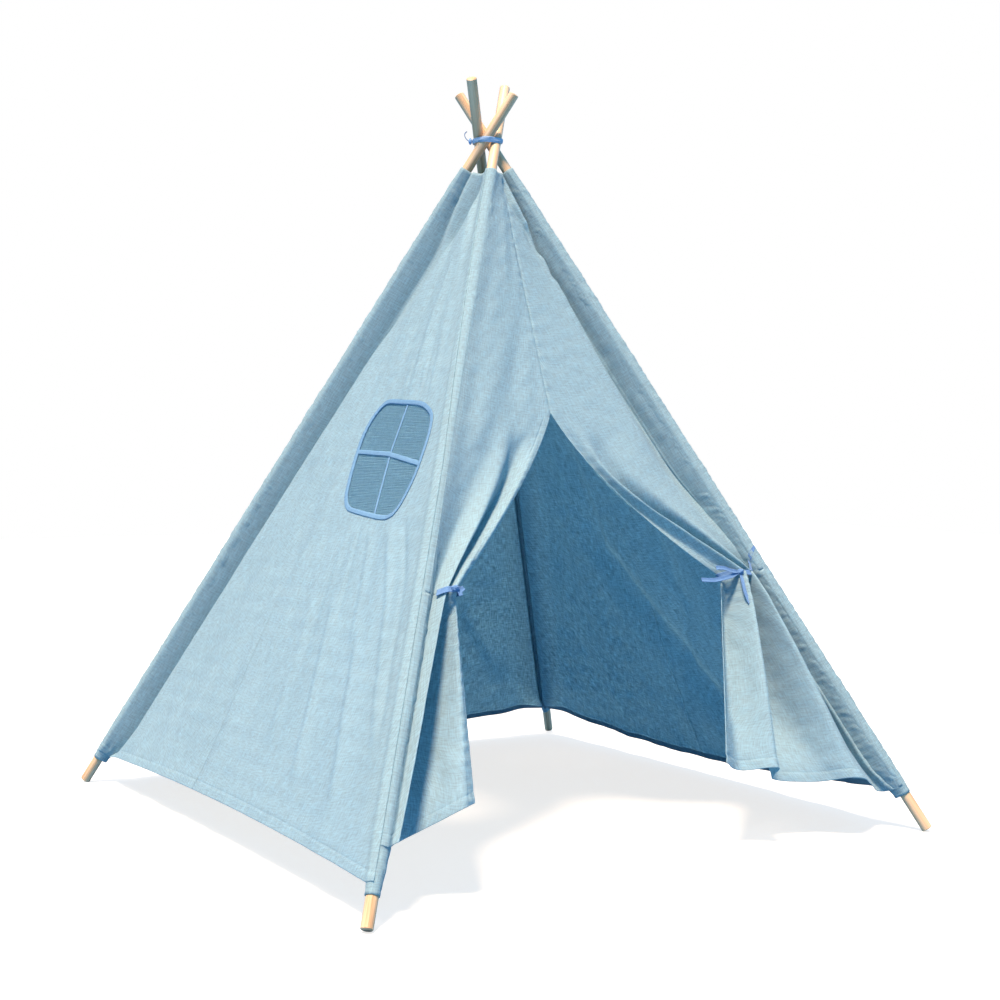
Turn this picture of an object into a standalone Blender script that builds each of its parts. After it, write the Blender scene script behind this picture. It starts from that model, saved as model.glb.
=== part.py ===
"""Kids teepee: four jointed pine poles cross under a ribbon and carry a cotton cover on sewn sleeves."""

import math

import bmesh
import bpy
import numpy as np
from mathutils import Matrix

# Poles, in metres. A drop is a distance down a pole's axis from where the poles cross. The fold angle is how far
# each pole swings in when the teepee is folded.
BASE_HALF_WIDTH = 0.600
BASE_HALF_DEPTH = 0.619
CROSSING_HEIGHT = 1.314
CROSSING_OFFSET = 0.0172
POLE_RADIUS = 0.010
SECTION_LENGTH = 0.567
POLE_TOPS = {"front": 0.145, "right": 0.116, "back": 0.130, "left": 0.104}
POLE_BEVEL = 0.0012
POLE_SIDES = 20
FOLD_ANGLE = math.radians(24)
FERRULE_LENGTH = 0.080
FERRULE_WALL = 0.0008
CLEARANCE = 0.0003

# Cover
CLOTH = 0.0009
COVER_TOP = 0.068
HEM_LIFT = 0.083
HEM_DROPS = {"front": 0.014, "right": -0.012, "back": -0.007, "left": 0.006}
SLEEVE_OVERHANG = 0.018
SLEEVE_BORE = 0.0150
MOUTH_BORE = 0.0106
MOUTH_LENGTH = 0.160
NECK_LENGTH = 0.085
SLEEVE_SIDES = 14
SEAM_ANGLES = {"front": (86, 120), "right": (40, 40), "back": (40, 40), "left": (40, 40)}
SEAM_STEP = 13
WINDOW_HEM_SAG = -0.014
RIGHT_HEM_SAG = 0.048
BACK_HEM_SAG = 0.034
CREASE_DEPTH = 0.006
CREASE_WIDTH = 0.030

# Door
APEX_DROP = 0.638
SEAM_SHARE = 0.446
TIE_DROP = 1.000
LEFT_TIE_REACH = 0.053
RIGHT_TIE_REACH = 0.084
LEFT_HEM_REACH = 0.148
RIGHT_HEM_REACH = 0.349
LEFT_HEM_RISE = (0.055, 0.105)
RIGHT_HEM_RISE = (0.000, 0.106)
LEFT_BOW = 1.35
RIGHT_BOW = 1.9

# Window, in the panel's own plane from the window's centre: along the panel, then down it
WINDOW_DROP = 0.742
WINDOW_SHARE = 0.701
WINDOW_EDGE = (
    (-0.092, -0.121),
    (-0.030, -0.120),
    (0.032, -0.116),
    (0.069, -0.107),
    (0.101, -0.088),
    (0.117, -0.054),
    (0.124, -0.016),
    (0.128, 0.028),
    (0.124, 0.068),
    (0.114, 0.097),
    (0.097, 0.113),
    (0.060, 0.118),
    (-0.040, 0.110),
    (-0.078, 0.102),
    (-0.101, 0.082),
    (-0.116, 0.048),
    (-0.129, -0.002),
    (-0.135, -0.050),
    (-0.124, -0.092),
)
BINDING_WIDTH = 0.009
BINDING_LAP = 0.001
NET_CORNERS = ((-0.142, -0.128), (0.106, -0.122), (0.136, 0.126), (-0.124, 0.120))
NET_CELLS = (7, 9)
NET_BAR = 0.0016
NET_THICKNESS = 0.0005
TAPE_THICKNESS = 0.0006
UPRIGHT_TAPE = ((-0.009, -0.110), (0.001, -0.012), (0.033, 0.105))
UPRIGHT_TAPE_WIDTH = 0.006
LEVEL_TAPE = ((-0.122, -0.015), (-0.003, -0.010), (0.111, 0.006))
LEVEL_TAPE_WIDTH = 0.009

# Ribbons
RIBBON_WIDTH = 0.011
RIBBON_THICKNESS = 0.0010
LASHING_SLACK = 0.0005
LASHING_SIDES = 32
LASHING_KNOT_ANGLE = 147
LASHING_KNOT = (0.0045, 0.0070, 0.0060)
LASHING_TAIL = ((0.001, 0.000), (0.007, 0.004), (0.011, 0.010), (0.011, 0.016), (0.007, 0.020))
TIE_KNOT = (0.0075, 0.0065, 0.0060)
TIE_KNOT_TURN = 78
BUNCH_DEPTH = 0.019
BUNCH_MARGIN = 0.009
LEFT_STRAP_END = ((0.0165, 0.0105), (0.0115, 0.0025))
RIGHT_STRAP_START = ((165, 0.045), (138, 0.042), (111, 0.038), (86, 0.032), (66, 0.024))

# Tails of the two door ties, from the knot: across the door, down it and off it
LEFT_TAILS = (
    ((0.000, 0.000, 0.000), (0.005, 0.006, 0.002), (0.006, 0.014, 0.003)),
    ((0.000, 0.000, 0.000), (0.009, 0.004, 0.001), (0.017, 0.000, 0.001)),
)
RIGHT_TAILS = (
    ((0.000, 0.000, 0.000), (0.024, -0.002, 0.003), (0.044, -0.008, 0.004), (0.060, -0.010, 0.002)),
    ((0.000, 0.000, 0.000), (0.030, 0.008, 0.000), (0.066, 0.012, -0.003), (0.100, 0.010, -0.003)),
    ((0.000, 0.000, 0.000), (0.006, 0.022, 0.004), (0.010, 0.044, 0.006), (0.008, 0.066, 0.007)),
)

LEAN = math.atan(math.hypot(BASE_HALF_WIDTH, BASE_HALF_DEPTH) / CROSSING_HEIGHT)
FOOT = (CROSSING_HEIGHT - (POLE_RADIUS - POLE_BEVEL) * math.sin(LEAN)) / math.cos(LEAN)
HEM = FOOT - HEM_LIFT
SLEEVE_END = HEM + SLEEVE_OVERHANG
FERRULE_BORE = POLE_RADIUS + CLEARANCE
FERRULE_RADIUS = FERRULE_BORE + FERRULE_WALL

# Which way each pole's foot lies from the middle, in the order in which the cover goes round
POLES = {"front": (-1, -1), "right": (1, -1), "back": (1, 1), "left": (-1, 1)}

# Fold lines of a door flap from the pole to the free edge. Each holds its share of the cloth's width, then its
# share of the way to the free edge and its depth, outward positive: half way to the tie, at the tie, at the hem.
LEFT_FLAP = (
    (0.00, 0.00, 0.000, 0.00, 0.000, 0.00, 0.000),
    (0.28, 0.34, 0.001, 0.22, -0.001, 0.06, -0.001),
    (0.52, 0.62, 0.003, 0.47, 0.010, 0.085, 0.003),
    (0.64, 0.74, -0.014, 0.50, -0.008, 0.125, -0.020),
    (0.74, 0.80, -0.016, 0.60, 0.005, 0.38, -0.034),
    (0.84, 0.87, -0.004, 0.74, 0.011, 0.66, -0.046),
    (0.93, 0.94, 0.003, 0.90, 0.003, 0.85, -0.010),
    (1.00, 1.00, 0.003, 1.00, -0.005, 1.00, 0.004),
)
RIGHT_FLAP = (
    (0.00, 0.00, 0.000, 0.00, 0.000, 0.00, 0.000),
    (0.24, 0.32, 0.000, 0.07, -0.006, 0.05, -0.014),
    (0.46, 0.62, 0.004, 0.28, 0.011, 0.288, 0.018),
    (0.60, 0.76, -0.014, 0.36, -0.004, 0.44, -0.022),
    (0.70, 0.81, -0.016, 0.43, -0.008, 0.66, -0.050),
    (0.80, 0.87, 0.002, 0.51, 0.013, 0.74, 0.022),
    (0.92, 0.94, -0.006, 0.76, 0.006, 0.87, 0.005),
    (1.00, 1.00, 0.002, 1.00, -0.004, 1.00, 0.000),
)
APEX_ROWS = 5
GATHER_ROWS = 7
FALL_ROWS = 7
FOLD_STEPS = 3
PANEL_COLUMNS = 10
PANEL_ROWS = 9


def clear_scene():
    for old in list(bpy.data.objects):
        bpy.data.objects.remove(old, do_unlink=True)


def new_collection(name):
    made = bpy.data.collections.new(name)
    bpy.context.scene.collection.children.link(made)
    return made


def new_material(name, colour, roughness, metallic=0.0):
    made = bpy.data.materials.new(name)
    made.use_nodes = True
    shader = made.node_tree.nodes["Principled BSDF"]
    shader.inputs["Base Color"].default_value = (*colour, 1.0)
    shader.inputs["Roughness"].default_value = roughness
    shader.inputs["Metallic"].default_value = metallic
    return made


def new_object(name, mesh, material, parent=None):
    """An object of the teepee, in its parent's frame."""
    made = bpy.data.objects.new(name, mesh)
    mesh.materials.append(material)
    TEEPEE.objects.link(made)
    made.parent = parent
    return made


def new_cutter(name, mesh):
    """A shape that only cuts or joins another."""
    made = bpy.data.objects.new(name, mesh)
    CUTTERS.objects.link(made)
    made.hide_render = True
    made.display_type = "WIRE"
    return made


def grid_mesh(name, points, closed=False):
    """A mesh through points[row][column]. Closed joins the last column to the first."""
    points = np.asarray(points)
    rows, columns = points.shape[:2]
    faces = []
    for r in range(rows - 1):
        for c in range(columns if closed else columns - 1):
            after = (c + 1) % columns
            low, high = r * columns, (r + 1) * columns
            faces.append((low + c, low + after, high + after, high + c))
    mesh = bpy.data.meshes.new(name)
    mesh.from_pydata(points.reshape(-1, 3).tolist(), [], faces)
    return mesh


def thicken(made, thickness, offset=0.0):
    solid = made.modifiers.new("Thickness", "SOLIDIFY")
    solid.thickness = thickness
    solid.offset = offset
    solid.use_even_offset = offset != 0.0
    return solid


def combine(made, cutter, operation):
    step = made.modifiers.new(f"{operation.title()} {cutter.name}", "BOOLEAN")
    step.object = cutter
    step.operation = operation
    step.solver = "EXACT"


def unit(vector):
    return vector / np.linalg.norm(vector)


class PoleFrame:
    """A pole's own axes at the crossing: along its hinge, inward and square to it, and up along it."""

    def __init__(self, name):
        across, along = POLES[name]
        self.out = unit(np.array([across * BASE_HALF_WIDTH, along * BASE_HALF_DEPTH, 0.0]))
        self.hinge = np.cross([0.0, 0.0, 1.0], self.out)
        self.up = np.array([0.0, 0.0, math.cos(LEAN)]) - self.out * math.sin(LEAN)
        self.inward = np.cross(self.up, self.hinge)
        self.origin = CROSSING_OFFSET * self.hinge + np.array([0.0, 0.0, CROSSING_HEIGHT])
        self.stretch = 1 + HEM_DROPS[name] / (HEM - COVER_TOP)
        self.seam_angles = SEAM_ANGLES[name]

    def own_drop(self, drop):
        """A drop of the whole cover, on this pole, where the hem hangs a little higher or lower."""
        return COVER_TOP + (drop - COVER_TOP) * self.stretch

    def seam_angle(self, drop):
        """How far round the sleeve the panels are sewn on, from its inward side."""
        return float(np.interp(drop, (COVER_TOP, COVER_TOP + MOUTH_LENGTH), self.seam_angles))

    def place(self, along, inward, drop):
        return self.origin + self.hinge * along + self.inward * inward - self.up * drop


SLEEVE_STATIONS = (COVER_TOP, COVER_TOP + MOUTH_LENGTH, HEM - NECK_LENGTH, HEM, SLEEVE_END)


def sleeve_bore(drop):
    """The sleeve's inner radius: narrow at both mouths."""
    widening = (COVER_TOP, COVER_TOP + MOUTH_LENGTH, HEM - NECK_LENGTH, SLEEVE_END)
    return float(np.interp(drop, widening, (MOUTH_BORE, SLEEVE_BORE, SLEEVE_BORE, MOUTH_BORE)))


def sleeve_shift(drop):
    """How far inward of the pole the sleeve's middle lies, because the cover pulls its outer side to the pole."""
    shifts = [max(sleeve_bore(station) - FERRULE_RADIUS - CLEARANCE, 0.0) for station in SLEEVE_STATIONS]
    return float(np.interp(drop, SLEEVE_STATIONS, shifts))


def sleeve_section(angle, drop, lift):
    """Where a ray at an angle from the inward side is at a lift from the bore, along the hinge and inward."""
    radius = (sleeve_bore(drop) + lift) / math.cos(math.pi / SLEEVE_SIDES)
    return radius * math.sin(angle), sleeve_shift(drop) + radius * math.cos(angle)


def sleeve_point(frame, degrees, drop, lift):
    return frame.place(*sleeve_section(math.radians(degrees), drop, lift), frame.own_drop(drop))


# Poles, ferrules and sleeves


def pole_empty(name):
    """The empty on a pole's hinge axis that carries all the pole's pieces."""
    frame = FRAMES[name]
    empty = bpy.data.objects.new(f"hinge_{name}", None)
    TEEPEE.objects.link(empty)
    axes = Matrix([frame.hinge, frame.inward, frame.up]).transposed()
    empty.matrix_world = Matrix.Translation(frame.origin) @ axes.to_4x4()
    return empty


def section_ends(name):
    """The drops between which each pole section lies, from the foot up."""
    joints = [FOOT - SECTION_LENGTH, FOOT - 2 * SECTION_LENGTH]
    lows = [FOOT, *(drop - CLEARANCE / 2 for drop in joints)]
    highs = [*(drop + CLEARANCE / 2 for drop in joints), -POLE_TOPS[name]]
    return list(zip(lows, highs))


def pole_section(name, low, high, parent):
    mesh = bpy.data.meshes.new(name)
    shape = bmesh.new()
    bmesh.ops.create_cone(
        shape, cap_ends=True, segments=POLE_SIDES, radius1=POLE_RADIUS, radius2=POLE_RADIUS, depth=low - high
    )
    shape.to_mesh(mesh)
    shape.free()
    mesh.shade_smooth()
    mesh.set_sharp_from_angle(angle=math.radians(40))
    made = new_object(name, mesh, PINE, parent)
    made.location = (0.0, 0.0, -(low + high) / 2)
    bevel = made.modifiers.new("Eased end", "BEVEL")
    bevel.width = POLE_BEVEL
    bevel.segments = 1
    bevel.limit_method = "ANGLE"
    bevel.angle_limit = math.radians(60)


def ferrule(name, middle, parent):
    """A thin tube over the ends of two sections."""
    turns = [2 * math.pi * n / POLE_SIDES for n in range(POLE_SIDES)]
    rows = [
        [(FERRULE_BORE * math.sin(a), FERRULE_BORE * math.cos(a), z) for a in turns]
        for z in (FERRULE_LENGTH / 2, -FERRULE_LENGTH / 2)
    ]
    mesh = grid_mesh(name, rows, closed=True)
    mesh.shade_smooth()
    made = new_object(name, mesh, STEEL, parent)
    made.location = (0.0, 0.0, -middle)
    thicken(made, FERRULE_WALL, offset=1.0)


def sleeve(name, frame, parent):
    """The sewn tube that hides a pole, wide along most of it and drawn in at the foot."""
    turns = [2 * math.pi * (n + 0.5) / SLEEVE_SIDES for n in range(SLEEVE_SIDES)]
    rows = [[(*sleeve_section(a, drop, 0.0), -frame.own_drop(drop)) for a in turns] for drop in SLEEVE_STATIONS]
    mesh = grid_mesh(name, rows, closed=True)
    mesh.shade_smooth()
    made = new_object(name, mesh, COTTON, parent)
    thicken(made, CLOTH, offset=1.0)


# Cover panels


class Panel:
    """The cloth between two poles, from the first to the next one round."""

    def __init__(self, first, last):
        self.first, self.last = FRAMES[first], FRAMES[last]
        down = unit(self.corner(1, HEM) - self.corner(1, COVER_TOP) + self.corner(-1, HEM) - self.corner(-1, COVER_TOP))
        across = unit(self.corner(-1, HEM) - self.corner(1, HEM))
        self.out = unit(np.cross(down, across))

    def edge(self, side, degrees, drop):
        """A point of the seam that hugs a sleeve: side 1 is the first pole's, side -1 the last one's."""
        return sleeve_point(self.pole(side), side * degrees, drop, CLOTH * 1.5 + CLEARANCE)

    def pole(self, side):
        return self.first if side > 0 else self.last

    def allowance(self, side, drop):
        """The cloth that lies on the sleeve beyond the panel's corner."""
        angle = self.pole(side).seam_angle(drop)
        return [self.edge(side, angle - steps * SEAM_STEP, drop) for steps in (2, 1)]

    def corner(self, side, drop):
        return self.edge(side, self.pole(side).seam_angle(drop), drop)

    def width(self, drop):
        return float(np.linalg.norm(self.corner(-1, drop) - self.corner(1, drop)))

    def point(self, share, drop, lift=0.0):
        low, high = self.corner(1, drop), self.corner(-1, drop)
        return low + (high - low) * share + self.out * lift

    def from_corner(self, side, reach, drop, lift):
        """A point at a distance from one corner along the panel, and a lift off it."""
        near, far = self.corner(side, drop), self.corner(-side, drop)
        return near + unit(far - near) * reach + self.out * lift


def cover_rows(last, count):
    """Drops for a panel's rows, which include those where the sleeves change shape."""
    low = COVER_TOP + MOUTH_LENGTH
    high = HEM - NECK_LENGTH
    inner = [float(d) for d in np.linspace(low, high, count) if d < last - CLOTH]
    drops = [COVER_TOP, COVER_TOP + MOUTH_LENGTH / 3, COVER_TOP + MOUTH_LENGTH * 2 / 3, *inner]
    return drops + ([last] if last <= high else [HEM - NECK_LENGTH / 2, last])


def plain_panel(name, panel, sag, crease):
    """A panel sewn to two sleeves. Crease gives its lift at a share and a drop."""
    rows = []
    for drop in cover_rows(HEM, PANEL_ROWS):
        row = panel.allowance(1, drop)
        for n in range(PANEL_COLUMNS + 1):
            share = n / PANEL_COLUMNS
            belly = 4 * share * (1 - share)
            lowered = drop + sag * belly * (drop / HEM) ** 2
            row.append(panel.point(share, lowered if 0 < n < PANEL_COLUMNS else drop, crease(share, drop)))
        row += panel.allowance(-1, drop)[::-1]
        rows.append(row)
    made = new_object(name, grid_mesh(name, rows), COTTON)
    thicken(made, CLOTH)
    return made


def crease_between(start, end):
    """A raised crease from one share and drop to another, which fades at both ends."""

    def lift(share, drop):
        along = (drop - start[1]) / (end[1] - start[1])
        if not 0 < along < 1:
            return 0.0
        middle = start[0] + (end[0] - start[0]) * along
        off = (share - middle) * BASE_HALF_WIDTH * 2 * drop / FOOT
        edge_fade = min(1.0, 6 * share * (1 - share))
        return CREASE_DEPTH * math.sin(math.pi * along) * math.exp(-((off / CREASE_WIDTH) ** 2)) * edge_fade

    return lift


def through(values, t):
    """A smooth curve at t from 0 to 1 through three values, the middle one half way."""
    first, middle, last = values
    return first * (2 * t - 1) * (t - 1) + middle * 4 * t * (1 - t) + last * t * (2 * t - 1)


def curve_between(a, b, c, d, t):
    """A point between b and c on the smooth curve through a, b, c and d."""
    return 0.5 * (2 * b + (c - a) * t + (2 * a - 5 * b + 4 * c - d) * t**2 + (3 * b - a - 3 * c + d) * t**3)


def smooth_line(points):
    """Points along a Catmull-Rom curve through the given points."""
    points = np.asarray(points)
    ends = [2 * points[0] - points[1], *points, 2 * points[-1] - points[-2]]
    made = [points[0]]
    for a, b, c, d in zip(ends, ends[1:], ends[2:], ends[3:]):
        made += [curve_between(a, b, c, d, n / FOLD_STEPS) for n in range(1, FOLD_STEPS + 1)]
    return made


class Flap:
    """Half of the door: the cloth between one pole and the centre seam, tied back to that pole."""

    def __init__(self, side, folds, seam_share, tie_reach, hem_reach, hem_rise, bow):
        self.side, self.folds, self.seam_share = side, folds, seam_share
        self.tie_reach, self.hem_reach, self.hem_rise, self.bow = tie_reach, hem_reach, hem_rise, bow

    def half_width(self, drop):
        return DOOR.width(drop) * self.seam_share - CLEARANCE / 2

    def hem(self, share):
        low, high = self.hem_rise
        return HEM - low - (high - low) * share

    def flat_row(self, drop):
        return [DOOR.from_corner(self.side, fold[0] * self.half_width(drop), drop, 0.0) for fold in self.folds]

    def gather_row(self, t):
        """A row between the apex and the tie: the free edge swings in and the folds deepen."""
        drop = APEX_DROP + (TIE_DROP - APEX_DROP) * t
        start = self.half_width(APEX_DROP)
        edge = start + (self.tie_reach - start) * t**self.bow
        row = []
        for share, mid_share, mid_depth, tie_share, tie_depth, _, _ in self.folds:
            reach = edge * through((share, mid_share, tie_share), t)
            lift = through((0.0, mid_depth, tie_depth), t) * (1 - (1 - t) ** 4)
            row.append(DOOR.from_corner(self.side, reach, drop, lift))
        return row

    def fall_row(self, t):
        """A row below the tie, where the cloth falls open to its hem."""
        row = []
        for _, _, _, tie_share, tie_depth, hem_share, hem_depth in self.folds:
            drop = TIE_DROP + (self.hem(hem_share) - TIE_DROP) * t
            reach = (1 - t) * tie_share * self.tie_reach + t * hem_share * self.hem_reach
            row.append(DOOR.from_corner(self.side, reach, drop, (1 - t) * tie_depth + t * hem_depth))
        return row


def door_half(name, flap):
    """A door half as one cloth, whose rows also hug the sleeve it is sewn to."""
    plan = [(drop, flap.flat_row(drop)) for drop in cover_rows(APEX_DROP, APEX_ROWS)]
    for n in range(1, GATHER_ROWS + 1):
        t = n / GATHER_ROWS
        plan.append((APEX_DROP + (TIE_DROP - APEX_DROP) * t, flap.gather_row(t)))
    low_end = flap.hem(0.0)
    for drop in [*np.linspace(TIE_DROP, HEM - NECK_LENGTH, FALL_ROWS)[1:], (HEM - NECK_LENGTH + low_end) / 2, low_end]:
        plan.append((drop, flap.fall_row((drop - TIE_DROP) / (low_end - TIE_DROP))))
    rows = []
    for drop, row in plan:
        rows.append((DOOR.allowance(flap.side, drop) + smooth_line(row))[:: flap.side])
    made = new_object(name, grid_mesh(name, rows), COTTON)
    thicken(made, CLOTH)


# Window


def window_place(along, down, lift):
    """A point of the window's own plane, carried by the panel behind it."""
    slope = np.linalg.norm(WINDOW.point(0.5, WINDOW_DROP) - WINDOW.point(0.5, WINDOW_DROP + 1))
    drop = WINDOW_DROP + down / slope
    centre = (WINDOW_SHARE - 0.5) * WINDOW.width(WINDOW_DROP)
    return WINDOW.point(0.5 + (centre + along) / WINDOW.width(drop), drop, lift)


def window_outline(offset, steps=2):
    """A smooth loop round the window, moved out by an offset."""
    points = np.array(WINDOW_EDGE)
    count = len(points)
    loop = []
    for n in range(count):
        a, b, c, d = (points[(n + step) % count] for step in (-1, 0, 1, 2))
        for step in range(steps):
            loop.append(curve_between(a, b, c, d, step / steps))
    moved = []
    for n, point in enumerate(loop):
        way = unit(loop[(n + 1) % len(loop)] - loop[n - 1])
        moved.append(point + offset * np.array([way[1], -way[0]]))
    return moved


def prism(name, outlines):
    """A closed solid between two outlines of as many points."""
    mesh = bpy.data.meshes.new(name)
    shape = bmesh.new()
    rings = [[shape.verts.new(p) for p in outline] for outline in outlines]
    shape.faces.new(rings[0])
    shape.faces.new(rings[1][::-1])
    for n in range(len(rings[0])):
        after = (n + 1) % len(rings[0])
        shape.faces.new((rings[0][after], rings[0][n], rings[1][n], rings[1][after]))
    bmesh.ops.recalc_face_normals(shape, faces=shape.faces)
    shape.to_mesh(mesh)
    shape.free()
    return mesh


def window_panel():
    crease = crease_between((0.86, COVER_TOP), (0.70, WINDOW_DROP - 0.16))
    made = plain_panel("window_panel", WINDOW, WINDOW_HEM_SAG, crease)
    hole = window_outline(BINDING_LAP - BINDING_WIDTH)
    depth = BINDING_WIDTH
    outlines = [[window_place(*p, lift) for p in hole] for lift in (-depth, depth)]
    combine(made, new_cutter("window_hole", prism("window_hole", outlines)), "DIFFERENCE")


def window_binding():
    lift = CLOTH + CLEARANCE + RIBBON_THICKNESS / 2
    rows = [[window_place(*p, lift) for p in window_outline(offset)] for offset in (0.0, -BINDING_WIDTH)]
    made = new_object("window_binding", grid_mesh("window_binding", rows, closed=True), RIBBON)
    thicken(made, RIBBON_THICKNESS)


def net_lift():
    return -(CLOTH / 2 + CLEARANCE * 1.5 + NET_THICKNESS / 2)


def window_net():
    """The net behind the window: a sheet with square gaps, sewn on past the binding."""
    corners = [np.array(corner) for corner in NET_CORNERS]
    columns, rows = NET_CELLS
    points = []
    for r in range(rows + 1):
        for c in range(columns + 1):
            top = corners[0] + (corners[1] - corners[0]) * c / columns
            low = corners[3] + (corners[2] - corners[3]) * c / columns
            points.append((top + (low - top) * r / rows))
    shape = bmesh.new()
    verts = [shape.verts.new((p[0], p[1], 0.0)) for p in points]
    for r in range(rows):
        for c in range(columns):
            n = r * (columns + 1) + c
            shape.faces.new((verts[n], verts[n + 1], verts[n + columns + 2], verts[n + columns + 1]))
    shape.normal_update()
    cells = list(shape.faces)
    bmesh.ops.inset_individual(shape, faces=cells, thickness=NET_BAR / 2, use_even_offset=True)
    bmesh.ops.delete(shape, geom=cells, context="FACES")
    for vert in shape.verts:
        vert.co = window_place(vert.co.x, vert.co.y, net_lift())
    mesh = bpy.data.meshes.new("window_net")
    shape.to_mesh(mesh)
    shape.free()
    made = new_object("window_net", mesh, NET)
    thicken(made, NET_THICKNESS)


def window_edge_along(point, way):
    """Where a line from inside the window along way reaches the binding."""
    loop = window_outline(-(BINDING_WIDTH + CLEARANCE))
    for start, end in zip(loop, [*loop[1:], loop[0]]):
        distance, share = np.linalg.solve(np.array([way, start - end]).T, start - point)
        if distance > 0 and 0 <= share <= 1:
            return point + way * distance
    return point


def window_tape(name, line, width, lift):
    """A tape across the window, sewn down at the binding's inner edge."""
    start, middle, end = (np.array(p) for p in line)
    across = unit(np.array([start[1] - end[1], end[0] - start[0]])) * width / 2
    sides = [middle + across, middle - across]
    rows = [
        [window_edge_along(side, unit(start - middle)) for side in sides],
        sides,
        [window_edge_along(side, unit(end - middle)) for side in sides],
    ]
    points = [[window_place(*p, lift) for p in row] for row in rows]
    made = new_object(name, grid_mesh(name, points), RIBBON)
    thicken(made, TAPE_THICKNESS)


def window_tapes():
    first = net_lift() + NET_THICKNESS / 2 + CLEARANCE + TAPE_THICKNESS / 2
    second = first + TAPE_THICKNESS + CLEARANCE
    window_tape("window_tape_upright", UPRIGHT_TAPE, UPRIGHT_TAPE_WIDTH, first)
    window_tape("window_tape_level", LEVEL_TAPE, LEVEL_TAPE_WIDTH, second)


# Ribbons


def bundle_edge(turn, height):
    """The outermost point of the crossed poles in a direction, at a height above the crossing, open or folded."""
    way = np.array([math.cos(turn), math.sin(turn), 0.0])
    points = []
    for frame in FRAMES.values():
        for lean in (LEAN, LEAN - FOLD_ANGLE):
            centre = CROSSING_OFFSET * frame.hinge - frame.out * height * math.tan(lean)
            long, short = POLE_RADIUS / math.cos(lean), POLE_RADIUS
            outward, sideways = way @ frame.out, way @ frame.hinge
            oval = long**2 * outward * frame.out + short**2 * sideways * frame.hinge
            points.append(centre + oval / math.hypot(long * outward, short * sideways))
    return max(points, key=lambda point: way @ point) + np.array([0.0, 0.0, CROSSING_HEIGHT + height]), way


def top_lashing():
    """The ribbon wound once round the crossing, loose enough for the poles to swing in."""
    rows = []
    for height in (-RIBBON_WIDTH / 2, 0.0, RIBBON_WIDTH / 2):
        edge = [bundle_edge(2 * math.pi * n / LASHING_SIDES, height) for n in range(LASHING_SIDES)]
        rows.append([point + way * LASHING_SLACK for point, way in edge])
    made = new_object("top_lashing", grid_mesh("top_lashing", rows, closed=True), RIBBON)
    thicken(made, RIBBON_THICKNESS, offset=1.0)


def ball(name, centre, radii, axes):
    """A soft knot: a sphere stretched along three axes."""
    mesh = bpy.data.meshes.new(name)
    shape = bmesh.new()
    bmesh.ops.create_uvsphere(shape, u_segments=12, v_segments=8, radius=1.0)
    for vert in shape.verts:
        vert.co = centre + sum(axis * size * amount for axis, size, amount in zip(axes, radii, vert.co))
    shape.to_mesh(mesh)
    shape.free()
    return mesh


def ribbon(name, path, widthwise, width):
    """A flat ribbon along a path, with its width along one direction per point."""
    rows = []
    for point, way in zip(path, widthwise):
        rows.append([point - unit(way) * width / 2, point + unit(way) * width / 2])
    return grid_mesh(name, rows)


def join_ribbons(made, name, tails):
    """Union of loose ribbons into one knotted piece."""
    for n, (path, widthwise, width) in enumerate(tails):
        tail = new_cutter(f"{name}_tail_{n}", ribbon(f"{name}_tail_{n}", path, widthwise, width))
        thicken(tail, RIBBON_THICKNESS)
        combine(made, tail, "UNION")


def top_lashing_knot():
    """The lashing's knot with one short curled end."""
    edge, way = bundle_edge(math.radians(LASHING_KNOT_ANGLE), 0.0)
    up = np.array([0.0, 0.0, 1.0])
    side = np.cross(up, way)
    centre = edge + way * (LASHING_SLACK + RIBBON_THICKNESS + CLEARANCE + LASHING_KNOT[0])
    mesh = ball("top_lashing_knot", centre, LASHING_KNOT, (way, side, up))
    made = new_object("top_lashing_knot", mesh, RIBBON)
    path = [centre + way * a + up * b for a, b in LASHING_TAIL]
    join_ribbons(made, "top_lashing_knot", [(path, [side] * len(path), RIBBON_WIDTH / 2)])


class Bunch:
    """The gathered cloth at a tie, as an oval that the ribbon goes round, from near to far off the pole."""

    def __init__(self, flap, near):
        self.side = flap.side
        self.frame = DOOR.pole(flap.side)
        self.middle = (near + flap.tie_reach) / 2
        self.half = (flap.tie_reach - near) / 2 + BUNCH_MARGIN

    def round(self, degrees, lift=0.0):
        turn = math.radians(degrees)
        return self.at(self.middle + (self.half + lift) * math.cos(turn), (BUNCH_DEPTH + lift) * math.sin(turn))

    def at(self, reach, lift):
        return DOOR.from_corner(self.side, reach, TIE_DROP, lift)

    def on_sleeve(self, degrees, rise):
        lift = CLOTH + CLEARANCE + RIBBON_THICKNESS / 2
        return sleeve_point(self.frame, self.side * degrees, TIE_DROP, lift) + self.frame.up * rise


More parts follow.
